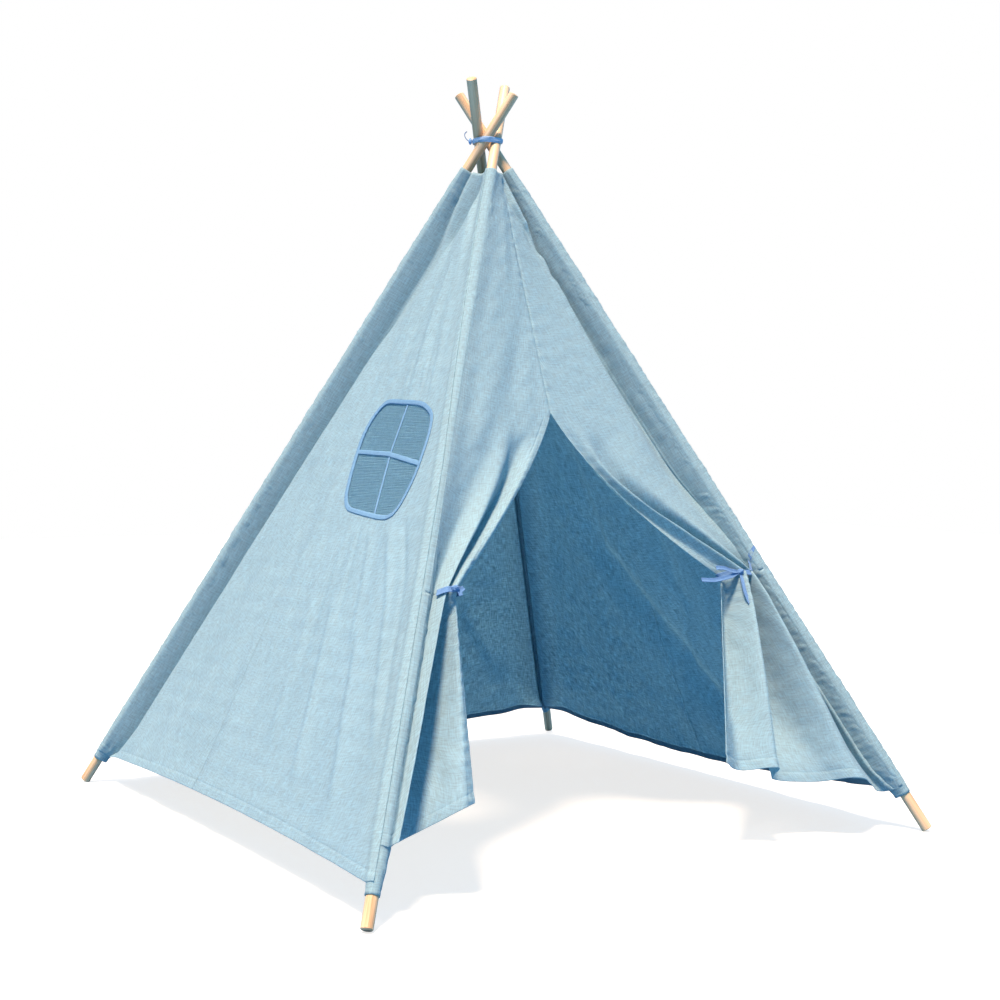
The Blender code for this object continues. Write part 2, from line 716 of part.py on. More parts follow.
def door_tie(name, flap, bunch, path, tails, parent):
    """A ribbon sewn to the sleeve that goes round the gathered cloth and is knotted on the door's outside."""
    made = new_object(name, ribbon(name, path, [bunch.frame.up] * len(path), RIBBON_WIDTH), RIBBON)
    thicken(made, RIBBON_THICKNESS)
    knot = bunch.round(TIE_KNOT_TURN, TIE_KNOT[2] / 3)
    across = unit(DOOR.from_corner(flap.side, 1.0, TIE_DROP, 0.0) - DOOR.from_corner(flap.side, 0.0, TIE_DROP, 0.0))
    down = flap.side * np.cross(across, DOOR.out)
    axes = (across, down, DOOR.out)
    combine(made, new_cutter(f"{name}_knot", ball(f"{name}_knot", knot, TIE_KNOT, axes)), "UNION")
    ribbons = []
    for steps in tails:
        points = [knot + across * a + down * b + DOOR.out * c for a, b, c in steps]
        flow = [unit(after - before) for before, after in zip([points[0], *points], [*points[1:], points[-1]])]
        ribbons.append((points, [np.cross(way, DOOR.out) for way in flow], RIBBON_WIDTH * 0.8))
    join_ribbons(made, name, ribbons)
    made.parent = parent
    made.matrix_parent_inverse = parent.matrix_world.inverted()


# The whole teepee

clear_scene()
TEEPEE = new_collection("kids_teepee")
CUTTERS = new_collection("cutters")
PINE = new_material("pine", (0.78, 0.58, 0.36), 0.6)
STEEL = new_material("ferrule_steel", (0.62, 0.63, 0.65), 0.35, 1.0)
COTTON = new_material("blue_cotton", (0.40, 0.62, 0.74), 0.9)
RIBBON = new_material("blue_ribbon", (0.22, 0.38, 0.70), 0.7)
NET = new_material("window_net", (0.30, 0.45, 0.58), 0.8)

FRAMES = {name: PoleFrame(name) for name in POLES}
DOOR = Panel("front", "right")
WINDOW = Panel("left", "front")
LEFT = Flap(1, LEFT_FLAP, SEAM_SHARE, LEFT_TIE_REACH, LEFT_HEM_REACH, LEFT_HEM_RISE, LEFT_BOW)
RIGHT = Flap(-1, RIGHT_FLAP, 1 - SEAM_SHARE, RIGHT_TIE_REACH, RIGHT_HEM_REACH, RIGHT_HEM_RISE, RIGHT_BOW)
LEFT_BUNCH = Bunch(LEFT, 0.010)
RIGHT_BUNCH = Bunch(RIGHT, 0.0)
HINGES = {name: pole_empty(name) for name in POLES}

for pole, hinge in HINGES.items():
    for label, (low_end, high_end) in zip(("lower", "middle", "upper"), section_ends(pole)):
        pole_section(f"pole_{pole}_{label}", low_end, high_end, hinge)
    for label, (low_end, high_end) in zip(("lower", "upper"), section_ends(pole)):
        ferrule(f"ferrule_{pole}_{label}", high_end - CLEARANCE / 2, hinge)
    sleeve(f"sleeve_{pole}", FRAMES[pole], hinge)

window_panel()
window_net()
window_binding()
window_tapes()
door_half("door_panel_left", LEFT)
door_half("door_panel_right", RIGHT)
plain_panel("right_panel", Panel("right", "back"), RIGHT_HEM_SAG, crease_between((0.70, 0.95), (0.30, 1.35)))
plain_panel("back_panel", Panel("back", "left"), BACK_HEM_SAG, crease_between((0.32, 1.00), (0.08, 1.36)))
top_lashing()
top_lashing_knot()
door_tie(
    "door_tie_left",
    LEFT,
    LEFT_BUNCH,
    [
        *(LEFT_BUNCH.on_sleeve(degrees, 0.0) for degrees in (0, 20, 38)),
        *(LEFT_BUNCH.round(degrees) for degrees in (-98, -70, -40, -10, 20, 50, 78, 105)),
        *(LEFT_BUNCH.at(*step) for step in LEFT_STRAP_END),
    ],
    LEFT_TAILS,
    HINGES["front"],
)
door_tie(
    "door_tie_right",
    RIGHT,
    RIGHT_BUNCH,
    [
        *(RIGHT_BUNCH.on_sleeve(*step) for step in RIGHT_STRAP_START),
        *(RIGHT_BUNCH.round(degrees) for degrees in (112, 84, 56, 28, 0, -30, -60, -90, -120, -145)),
    ],
    RIGHT_TAILS,
    HINGES["right"],
)
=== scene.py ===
"""Looks of the kids teepee, in the order in which it is put together."""

import math

import bmesh
import bpy
import numpy as np
from mathutils import Matrix


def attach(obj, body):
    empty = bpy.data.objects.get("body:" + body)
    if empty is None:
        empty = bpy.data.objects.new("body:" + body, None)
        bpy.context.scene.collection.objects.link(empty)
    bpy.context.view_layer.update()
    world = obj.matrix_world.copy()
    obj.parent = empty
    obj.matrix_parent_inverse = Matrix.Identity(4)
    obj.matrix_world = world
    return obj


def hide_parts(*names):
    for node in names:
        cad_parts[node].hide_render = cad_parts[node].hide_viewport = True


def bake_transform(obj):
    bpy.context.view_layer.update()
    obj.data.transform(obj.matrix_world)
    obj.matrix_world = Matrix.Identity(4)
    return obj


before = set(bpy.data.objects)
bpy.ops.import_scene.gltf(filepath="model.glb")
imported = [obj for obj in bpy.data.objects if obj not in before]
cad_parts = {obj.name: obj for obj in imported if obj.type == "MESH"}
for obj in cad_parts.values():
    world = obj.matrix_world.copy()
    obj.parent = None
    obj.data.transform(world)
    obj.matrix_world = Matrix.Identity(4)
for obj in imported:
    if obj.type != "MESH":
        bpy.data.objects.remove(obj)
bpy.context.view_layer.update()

# Camera, floor and light
# The camera looks at one lower corner pole a little left of the door. The floor is plain and pale. A wide soft sun
# from above and in front does most of the work, with a fainter one beside it and an even blue light all round.


def unit(vectors):
    """Each vector brought to a length of one."""
    vectors = np.asarray(vectors, float)
    return vectors / np.linalg.norm(vectors, axis=-1, keepdims=True)


def facing(away, place):
    """How an object stands at a place when its back points away and its right side is level."""
    away = unit(away)
    right = unit(np.cross([0.0, 0.0, 1.0], away))
    axes = Matrix([right, np.cross(away, right), away]).transposed().to_4x4()
    return Matrix.Translation(place) @ axes


def photo_camera():
    azimuth, elevation, roll = (math.radians(turn) for turn in (-32.297, 1.947, 0.523))
    level = math.cos(elevation)
    back = (math.sin(azimuth) * level, -math.cos(azimuth) * level, math.sin(elevation))
    camera = bpy.data.objects.new("photo_camera", bpy.data.cameras.new("photo_camera"))
    bpy.context.scene.collection.objects.link(camera)
    camera.data.lens = 57.564
    camera.data.sensor_width = 36.0
    camera.matrix_world = facing(back, (-1.6659, -2.6933, 0.7168)) @ Matrix.Rotation(roll, 4, "Z")
    bpy.context.scene.camera = camera


def soft_light(name, place, spread, power, colour):
    """A broad even light from one side, like a wide screen far off, that faces the tent's middle."""
    light = bpy.data.objects.new(name, bpy.data.lights.new(name, "SUN"))
    bpy.context.scene.collection.objects.link(light)
    light.data.angle = math.radians(spread)
    light.data.energy = power
    light.data.color = colour
    light.matrix_world = facing(np.array(place) - (0.0, 0.0, 0.6), place)


def set_inputs(tree, node, inputs):
    """Gives a node's inputs their values: each is a plain one or another node's socket."""
    for key, value in inputs.items():
        if isinstance(value, bpy.types.NodeSocket):
            tree.links.new(value, node.inputs[key])
        else:
            node.inputs[key].default_value = value


def add_node(tree, kind, inputs=None, **settings):
    """The outputs of a new shader node of one kind, with its settings and inputs."""
    made = tree.nodes.new("ShaderNode" + kind)
    for key, value in settings.items():
        setattr(made, key, value)
    set_inputs(tree, made, inputs or {})
    return made.outputs


def remap(tree, value, low, high, to_low=0.0, to_high=1.0):
    """A value brought from one range to another and held at its ends."""
    return add_node(tree, "MapRange", {0: value, 1: low, 2: high, 3: to_low, 4: to_high})[0]


def mix_colours(tree, share, first, second, **settings):
    """The first colour where the share is 0 and the second where it is 1."""
    return add_node(tree, "Mix", {0: share, 6: first, 7: second}, data_type="RGBA", **settings)[2]


def seen_or_felt(tree, seen, felt):
    """One shader for what the camera sees, and another for the light that the object gets from it."""
    return add_node(tree, "MixShader", {0: add_node(tree, "LightPath")["Is Camera Ray"], 1: felt, 2: seen})[0]


def new_material(name, inputs):
    """A material, its node tree and its shader, whose inputs get their values."""
    made = bpy.data.materials.new(name)
    made.use_nodes = True
    shader = made.node_tree.nodes["Principled BSDF"]
    set_inputs(made.node_tree, shader, inputs)
    return made, made.node_tree, shader


def studio():
    """White to the camera with faint shadows on the floor, and blue to the object, more so from below."""
    world = bpy.data.worlds.new("studio")
    world.use_nodes = True
    tree = world.node_tree
    tree.nodes.clear()
    height = add_node(tree, "SeparateXYZ", {0: add_node(tree, "TexCoord")["Generated"]})[2]
    sky = mix_colours(tree, remap(tree, height, 0.1, 0.9), (0.09, 0.40, 0.75, 1.0), (0.20, 0.50, 0.82, 1.0))
    felt = add_node(tree, "Background", {"Color": sky, "Strength": 1.0})[0]
    seen = add_node(tree, "Background", {"Color": (1.0, 1.0, 1.0, 1.0), "Strength": 1.0})[0]
    add_node(tree, "OutputWorld", {"Surface": seen_or_felt(tree, seen, felt)})
    bpy.context.scene.world = world
    bpy.context.scene.view_settings.view_transform = "Standard"

    looks = {"Base Color": (0.30, 0.30, 0.30, 1.0), "Roughness": 0.85}
    glow = {"Emission Color": (1.0, 0.95, 0.90, 1.0), "Emission Strength": 0.78}
    paper, tree, shader = new_material("studio_floor", looks | glow)
    bounce = add_node(tree, "BsdfDiffuse", {"Color": (0.13, 0.26, 0.44, 1.0)})[0]
    set_inputs(tree, tree.nodes["Material Output"], {"Surface": seen_or_felt(tree, shader.outputs[0], bounce)})
    mesh = bpy.data.meshes.new("studio_floor")
    mesh.from_pydata([(-9, -9, 0), (9, -9, 0), (9, 9, 0), (-9, 9, 0)], [], [(0, 1, 2, 3)])
    mesh.materials.append(paper)
    floor = bpy.data.objects.new("studio_floor", mesh)
    bpy.context.scene.collection.objects.link(floor)


photo_camera()
studio()
soft_light("key_light", (-1.50, -1.20, 5.2), 11.0, 8.8, (1.0, 0.77, 0.57))
soft_light("side_light", (-2.20, 0.60, 5.0), 16.0, 0.8, (1.0, 0.76, 0.56))

# Poles
# Four turned pine poles, each of three sections joined by steel tubes, clear lacquered and pale. They lean on each
# other where they cross and stand on the floor on their lower ends. The part's solids keep their shape.

BASE_HALF_WIDTH = 0.600
BASE_HALF_DEPTH = 0.619
CROSSING_HEIGHT = 1.314
CROSSING_OFFSET = 0.0172
POLE_RADIUS = 0.010
LEAN = math.atan(math.hypot(BASE_HALF_WIDTH, BASE_HALF_DEPTH) / CROSSING_HEIGHT)
FOOT = (CROSSING_HEIGHT - (POLE_RADIUS - 0.0012) * math.sin(LEAN)) / math.cos(LEAN)
POLES = {"front": (-1, -1), "right": (1, -1), "back": (1, 1), "left": (-1, 1)}
HEM_DROPS = {"front": 0.014, "right": -0.012, "back": -0.007, "left": 0.006}
COVER_TOP = 0.068
HEM = FOOT - 0.083
TAPER_END = COVER_TOP + 0.160
PINE_TONES = ((0.36, (0.44, 0.25, 0.12, 1.0)), (0.47, (0.64, 0.41, 0.23, 1.0)), (0.60, (0.74, 0.52, 0.33, 1.0)))


class PoleFrame:
    """A pole's own axes at the crossing. A drop is a distance down its axis, and along and inward are square to it."""

    def __init__(self, name):
        across, along = POLES[name]
        self.name, self.body = name, f"pole_{name}"
        self.out = unit([across * BASE_HALF_WIDTH, along * BASE_HALF_DEPTH, 0.0])
        self.hinge = np.cross([0.0, 0.0, 1.0], self.out)
        self.up = np.array([0.0, 0.0, math.cos(LEAN)]) - self.out * math.sin(LEAN)
        self.inward = np.cross(self.up, self.hinge)
        self.origin = CROSSING_OFFSET * self.hinge + np.array([0.0, 0.0, CROSSING_HEIGHT])
        self.stretch = 1 + HEM_DROPS[name] / (HEM - COVER_TOP)
        self.seam_angles = (86, 120) if name == "front" else (40, 40)

    def own_drop(self, drop):
        """The hem hangs a little higher or lower on each pole, so its drops are stretched from the cover's top. The
        front one's top lies lower, less so further down."""
        lowered = 0.012 * np.exp(-(drop - COVER_TOP) / 0.05) if self.name == "front" else 0.0
        return COVER_TOP + (drop - COVER_TOP) * self.stretch + lowered

    def seam_angle(self, drop):
        return np.interp(drop, (COVER_TOP, TAPER_END), self.seam_angles)

    def place(self, along, inward, drop):
        along, inward, drop = np.broadcast_arrays(along, inward, drop)
        aside = along[..., None] * self.hinge + inward[..., None] * self.inward
        return self.origin + aside - drop[..., None] * self.up


def effect_group(name, inputs, outputs):
    """An empty node group with named sockets, the outputs of its input node, and its output node."""
    group = bpy.data.node_groups.new(name, "ShaderNodeTree")
    for way, sockets in (("INPUT", inputs), ("OUTPUT", outputs)):
        for label, kind in sockets.items():
            group.interface.new_socket(label, in_out=way, socket_type=f"NodeSocket{kind}")
    return group, group.nodes.new("NodeGroupInput").outputs, group.nodes.new("NodeGroupOutput")


def calc(tree, operation, *values, **settings):
    """The result of a maths node on plain values or sockets."""
    return add_node(tree, "Math", dict(enumerate(values)), operation=operation, **settings)[0]


def drawn_noise(tree, vector, scale, detail, distortion=0.0):
    """Soft noise that is as fine along each axis as the scale says."""
    drawn = add_node(tree, "Mapping", {"Vector": vector, "Scale": scale})[0]
    inputs = {"Vector": drawn, "Scale": 1.0, "Detail": detail, "Distortion": distortion}
    return add_node(tree, "TexNoise", inputs)[0]


def pine_grain_group():
    """Growth lines drawn out along the third axis, with a few darker streaks and slow changes of tone."""
    group, given, result = effect_group("pine_grain", {"Vector": "Vector"}, {"Color": "Color", "Height": "Float"})
    streaks = drawn_noise(group, given[0], (150.0, 150.0, 5.0), 4.0, 0.6)
    rings = drawn_noise(group, given[0], (40.0, 40.0, 2.2), 2.0)
    ramp = group.nodes.new("ShaderNodeValToRGB")
    set_inputs(group, ramp, {"Fac": calc(group, "MULTIPLY", calc(group, "ADD", rings, streaks), 0.5)})
    ramp.color_ramp.elements.new(0.5)
    for stop, (place, colour) in zip(ramp.color_ramp.elements, PINE_TONES):
        stop.position, stop.color = place, colour
    set_inputs(group, result, {"Color": ramp.outputs["Color"], "Height": streaks})
    return group


def pine(name, pole, grain):
    """Lacquered pine whose grain runs along one pole."""
    made, tree, shader = new_material(name, {"Roughness": 0.48, "Coat Weight": 0.15})
    turn = Matrix([pole.hinge, pole.inward, pole.up]).transposed().to_euler()
    place = {"Vector": add_node(tree, "TexCoord")["Object"], "Location": pole.origin, "Rotation": turn}
    turned = add_node(tree, "Mapping", place, vector_type="TEXTURE")[0]
    wood = add_node(tree, "Group", {0: turned}, node_tree=grain)
    bump = add_node(tree, "Bump", {"Height": wood["Height"], "Strength": 0.25, "Distance": 0.0006})[0]
    set_inputs(tree, shader, {"Base Color": wood["Color"], "Normal": bump})
    return made


def steel():
    """Drawn steel tube with fine lines along it."""
    made, tree, shader = new_material("drawn_steel", {"Base Color": (0.60, 0.61, 0.63, 1.0), "Metallic": 1.0})
    place = add_node(tree, "TexCoord")["Object"]
    lines = add_node(tree, "TexNoise", {"Vector": place, "Scale": 260.0, "Detail": 3.0})[0]
    set_inputs(tree, shader, {"Roughness": remap(tree, lines, 0.0, 1.0, 0.25, 0.45)})
    return made


FRAMES = {name: PoleFrame(name) for name in POLES}
pine_grain = pine_grain_group()
steel_tube = steel()
for label, pole in FRAMES.items():
    wood = pine(f"pine_{label}", pole, pine_grain)
    for section in ("lower", "middle", "upper"):
        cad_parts[f"pole_{label}_{section}"].material_slots[0].material = wood
    for section in ("lower", "upper"):
        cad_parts[f"ferrule_{label}_{section}"].material_slots[0].material = steel_tube

# Sleeves
# A tube of the cover's own woven cotton is sewn round each pole from near the crossing to near the foot. It is a
# little wide for the pole, so it puckers across its length, and its ends are drawn in.

CLOTH = 0.0009
CLEARANCE = 0.0003
SLEEVE_END = HEM + 0.018
FERRULE_RADIUS = POLE_RADIUS + CLEARANCE + 0.0008
LOWER_TAPER = HEM - 0.085
SLEEVE_STATIONS = (COVER_TOP, TAPER_END, LOWER_TAPER, HEM, SLEEVE_END)
SLEEVE_SIDES = 14
MOUTH, WIDE = 0.0106, 0.0150
FIN = 0.019
HEM_STITCHES = 0.018
COTTON = ((0.420, 0.598, 0.680), (0.450, 0.628, 0.708), 0.0009, 0.00045, 0.55, HEM_STITCHES)
STITCH_COLOUR = (0.50, 0.70, 0.80, 1.0)
STITCH_LENGTH = 0.0034


def smooth_step(t):
    t = np.clip(t, 0.0, 1.0)
    return t * t * (3 - 2 * t)


def bell(distance, width):
    """One where the distance is nothing, falling off as the exponential of minus its square."""
    return np.exp(-((distance / width) ** 2))


def sleeve_bore(drop):
    """The inner radius: narrow at both mouths and wide between them."""
    return np.interp(drop, (COVER_TOP, TAPER_END, LOWER_TAPER, SLEEVE_END), (MOUTH, WIDE, WIDE, MOUTH))


def sleeve_shift(drop):
    """How far inward of the pole the sleeve's middle lies, because the cover pulls its outer side to the pole."""
    shifts = np.maximum(sleeve_bore(np.array(SLEEVE_STATIONS)) - FERRULE_RADIUS - CLEARANCE, 0.0)
    return np.interp(drop, SLEEVE_STATIONS, shifts)


def on_sleeve(pole, degrees, drop, lift, fin=0.0):
    """A point at an angle round the sleeve from its inward side, at a lift off the bore. A fin draws that side out
    inward: it is highest at angle zero and falls off as a high power of the cosine."""
    turn = np.radians(degrees)
    radius = (sleeve_bore(drop) + lift) / math.cos(math.pi / SLEEVE_SIDES)
    inward = sleeve_shift(drop) + radius * np.cos(turn) + fin * ((1 + np.cos(turn)) / 2) ** 8
    return pole.place(radius * np.sin(turn), inward, pole.own_drop(drop))


def fin_depth(pole, drop):
    """How far the slack side of a sleeve reaches inward past its round part. The front one is flush."""
    if pole.name == "front":
        return 0.0 * drop
    full = 0.35 + 0.65 * smooth_step((drop - COVER_TOP) / 0.20)
    return full * (1 - 0.6 * smooth_step((drop - HEM + 0.06) / 0.08))


def measured(points, axis):
    """How far each point lies from the grid's first one along an axis, over the cloth."""
    steps = np.linalg.norm(np.diff(points, axis=axis), axis=-1)
    return np.concatenate([np.zeros_like(np.take(steps, [0], axis=axis)), np.cumsum(steps, axis=axis)], axis=axis)


def grid_normals(points):
    """The direction square to the grid at each point, from its neighbours along both axes."""
    return unit(np.cross(np.gradient(points, axis=0), np.gradient(points, axis=1)) + 1e-12)


def ripples(x, y, seed, way, length, spread, count=9):
    """A sum of cosine waves with seeded phases: each runs close to one direction and has close to one length."""
    chance = np.random.default_rng(seed)
    ways = math.radians(way) + chance.normal(0.0, math.radians(spread), count)
    lengths = length * chance.uniform(0.65, 1.6, count)
    phases = chance.uniform(0.0, 2 * math.pi, count)
    waves = [
        np.cos(2 * math.pi * (x * math.cos(w) + y * math.sin(w)) / l + p) for w, l, p in zip(ways, lengths, phases)
    ]
    return sum(waves) / math.sqrt(count)


def quad_corners(index):
    """The four corners of every square in a grid of numbers, in order round it."""
    return np.stack([index[:-1, :-1], index[:-1, 1:], index[1:, 1:], index[1:, :-1]], axis=-1)


def surface_mesh(name, points, maps, closed=False, keep=None):
    """A quad mesh through points[row, column]. maps names UV layers with a pair for each point. A closed grid joins
    its last column to its first, whose map goes on past the seam. keep marks the quads that stay."""
    rows, columns = points.shape[:2]
    index = np.arange(rows * columns).reshape(rows, columns)
    if closed:
        index = np.concatenate([index, index[:, :1]], axis=1)
    quads, spots = quad_corners(index), quad_corners(np.arange(index.size).reshape(rows, -1))
    if keep is not None:
        quads, spots = quads[keep], spots[keep]
    used, quads = np.unique(quads.reshape(-1, 4), return_inverse=True)
    mesh = bpy.data.meshes.new(name)
    mesh.vertices.add(len(used))
    mesh.vertices.foreach_set("co", points.reshape(-1, 3)[used].astype(np.float32).ravel())
    mesh.loops.add(quads.size)
    mesh.loops.foreach_set("vertex_index", quads.astype(np.int32).ravel())
    mesh.polygons.add(quads.size // 4)
    mesh.polygons.foreach_set("loop_start", np.arange(0, quads.size, 4, dtype=np.int32))
    for label, pairs in maps.items():
        spread = np.stack(pairs, axis=-1).reshape(-1, 2)[spots.ravel()]
        mesh.uv_layers.new(name=label).data.foreach_set("uv", spread.astype(np.float32).ravel())
    mesh.update(calc_edges=True)
    mesh.shade_smooth()
    return mesh


def new_piece(name, mesh, material, slot, *replaced, thickness=0.0, offset=0.0):
    """A piece of the scene in one material, which takes the place of the solids named. A sheet gets a thickness."""
    piece = bpy.data.objects.new(name, mesh)
    bpy.context.scene.collection.objects.link(piece)
    mesh.materials.append(material)
    if replaced:
        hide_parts(*replaced)
    if thickness:
        solid = piece.modifiers.new("thickness", "SOLIDIFY")
        solid.thickness = thickness
        solid.offset = offset
    return piece


def plain_weave_group():
    """Threads over and under each other: the product of two sines of the cloth's map, thicker and thinner where
    drawn out noise says so. Fleck is that noise alone, as the odd thick thread shows it."""
    group, given, result = effect_group(
        "plain_weave", {"Vector": "Vector", "Pitch": "Float"}, {"Height": "Float", "Fleck": "Float", "Tone": "Float"}
    )
    scaled = add_node(group, "VectorMath", {0: given["Vector"], 1: given["Pitch"]}, operation="DIVIDE")[0]
    parts = add_node(group, "SeparateXYZ", {0: scaled})
    waves = [calc(group, "SINE", calc(group, "MULTIPLY", parts[axis], math.pi)) for axis in (0, 1)]
    flecks = [drawn_noise(group, given["Vector"], scale, 3.0) for scale in ((420.0, 55.0, 1.0), (60.0, 380.0, 1.0))]
    fleck = calc(group, "ADD", *flecks)
    height = calc(group, "MULTIPLY_ADD", calc(group, "MULTIPLY", *waves), 0.45, fleck)
    slow = add_node(group, "TexNoise", {"Vector": given["Vector"], "Scale": 7.0, "Detail": 3.0})[0]
    set_inputs(group, result, {"Height": height, "Fleck": fleck, "Tone": slow})
    return group


def stitch_row_group():
    """Short stitches in one row: on where the map's first part is close to a distance from the edge, and where its
    second part, in stitch lengths, is in the first two thirds of each."""
    sockets = {"Vector": "Vector", "Distance": "Float", "Length": "Float"}
    group, given, result = effect_group("stitch_row", sockets, {"Mask": "Float"})
    parts = add_node(group, "SeparateXYZ", {0: given["Vector"]})
    off = calc(group, "ABSOLUTE", calc(group, "SUBTRACT", parts[0], given["Distance"]))
    within = calc(group, "FRACT", calc(group, "DIVIDE", parts[1], given["Length"]))
    near = remap(group, off, 0.0003, 0.0008, 1.0, 0.0)
    set_inputs(group, result, {"Mask": calc(group, "MULTIPLY", near, calc(group, "LESS_THAN", within, 0.68))})
    return group


def woven_cloth(name, low, high, pitch, depth, through, stitched=0.0, hem_layers=0.0):
    """Woven cotton that lets some light through. Its tone goes slowly between two colours, and each thick thread is
    a little lighter. A hem of several layers lets less light through."""
    sheen = {"Sheen Weight": 0.12, "Sheen Roughness": 0.5}
    made, tree, shader = new_material(name, {"Roughness": 0.86, "Specular IOR Level": 0.25, **sheen})
    cloth_map = add_node(tree, "UVMap", uv_map="cloth")[0]
    weave = add_node(tree, "Group", {"Vector": cloth_map, "Pitch": pitch}, node_tree=plain_weave)
    fleck = remap(tree, weave["Fleck"], 0.7, 1.3, -0.5, 0.5)
    share = calc(tree, "ADD", remap(tree, weave["Tone"], 0.3, 0.7), fleck, use_clamp=True)
    colour, height, layers = mix_colours(tree, share, (*low, 1.0), (*high, 1.0)), weave["Height"], 0.0
    if stitched:
        border = add_node(tree, "UVMap", uv_map="border")[0]
        row = {"Vector": border, "Distance": stitched, "Length": STITCH_LENGTH}
        row = add_node(tree, "Group", row, node_tree=stitch_row)[0]
        colour = mix_colours(tree, row, colour, STITCH_COLOUR)
        height = calc(tree, "MULTIPLY_ADD", row, 1.4, height)
    if hem_layers:
        layers = remap(tree, add_node(tree, "SeparateXYZ", {0: border})[0], 0.0130, 0.0138, hem_layers, 0.0)
    bump = add_node(tree, "Bump", {"Height": height, "Strength": 0.55, "Distance": depth})[0]
    set_inputs(tree, shader, {"Base Color": colour, "Normal": bump})
    deeper = mix_colours(tree, 1.0, colour, (1.0, 1.0, 0.95, 1.0), blend_type="MULTIPLY")
    thread = remap(tree, weave["Fleck"], 0.75, 1.25, 0.62, 1.38)
    deeper = add_node(tree, "VectorMath", {0: deeper, 3: thread}, operation="SCALE")[0]
    deeper = mix_colours(tree, layers, deeper, (0.02, 0.05, 0.10, 1.0))
    glow = add_node(tree, "BsdfTranslucent", {"Color": deeper, "Normal": bump})[0]
    mixed = add_node(tree, "MixShader", {0: through, 1: shader.outputs[0], 2: glow})[0]
    set_inputs(tree, tree.nodes["Material Output"], {"Surface": mixed})
    return made


def sleeve(label, pole, seed):
    """A tube: its radius is the bore's, plus soft swellings along it and short puckers across it."""
    drops = np.linspace(COVER_TOP, SLEEVE_END, 330)[:, None]
    degrees = np.linspace(0.0, 360.0, 49)[None, :-1]
    turns, reach = np.radians(degrees), drops - COVER_TOP
    swelling = 0.0007 * ripples(reach, turns * 0.02, seed, 5, 0.11, 15)
    swelling = swelling + 0.0004 * ripples(reach, turns * 0.02, seed + 1, 60, 0.030, 20)
    pinch = ripples(reach, turns * 0.012, seed + 2, 12, 0.021, 12)
    pucker = 0.0009 * np.clip(pinch - 0.9, 0.0, 1.0) + 0.0005 * ripples(reach, turns * 0.015, seed + 3, 35, 0.013, 25)
    ends = smooth_step(reach / 0.05) * smooth_step((SLEEVE_END - drops) / 0.05)
    lift = CLOTH / 2 + ends * (np.abs(swelling) + pucker) - 0.0005 * bell(SLEEVE_END - drops - 0.009, 0.0015)
    points = on_sleeve(pole, degrees, drops, lift, FIN * fin_depth(pole, drops))
    flat = (np.linspace(0.0, 0.100, 49)[None, :] + 0 * drops, drops + 0 * np.linspace(0.0, 1.0, 49))
    maps = {"cloth": flat, "border": (SLEEVE_END - flat[1], flat[0])}
    name, girth = f"sleeve_cloth_{label}", 0.102 if label == "front" else 0.129
    mesh = surface_mesh(name, points, maps, closed=True)
    piece = new_piece(name, mesh, cotton, "blue_cotton", f"sleeve_{label}", thickness=CLOTH)
    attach(piece, pole.body)


plain_weave = plain_weave_group()
stitch_row = stitch_row_group()
cotton = woven_cloth("blue_cotton_cloth", *COTTON)
backed_cotton = woven_cloth("blue_cotton_hemmed", *COTTON, 0.85)
for number, (label, pole) in enumerate(FRAMES.items()):
    sleeve(label, pole, 10 * number + 3)

# Plain panels
# Cotton panels are sewn between the sleeves. The two behind have a wide hem, which hangs in a shallow arc, and fine
# tension lines that run from the crossing to the feet.

PANEL_DROPS = np.concatenate([np.arange(COVER_TOP, HEM - 0.031, 0.0062), HEM - np.arange(0.0, 0.030, 0.0019)[::-1]])
PANEL_DROPS = PANEL_DROPS[:, None]
FIN_WALL = ((0.0153, 0.007), (0.0128, 0.019), (0.0092, 0.030), (0.0070, 0.038), (0.0105, 0.0455))
REAR_BEND = (0.26, 0.03)


def same_shape(*values):
    return np.broadcast_arrays(*(np.asarray(value, float) for value in values))


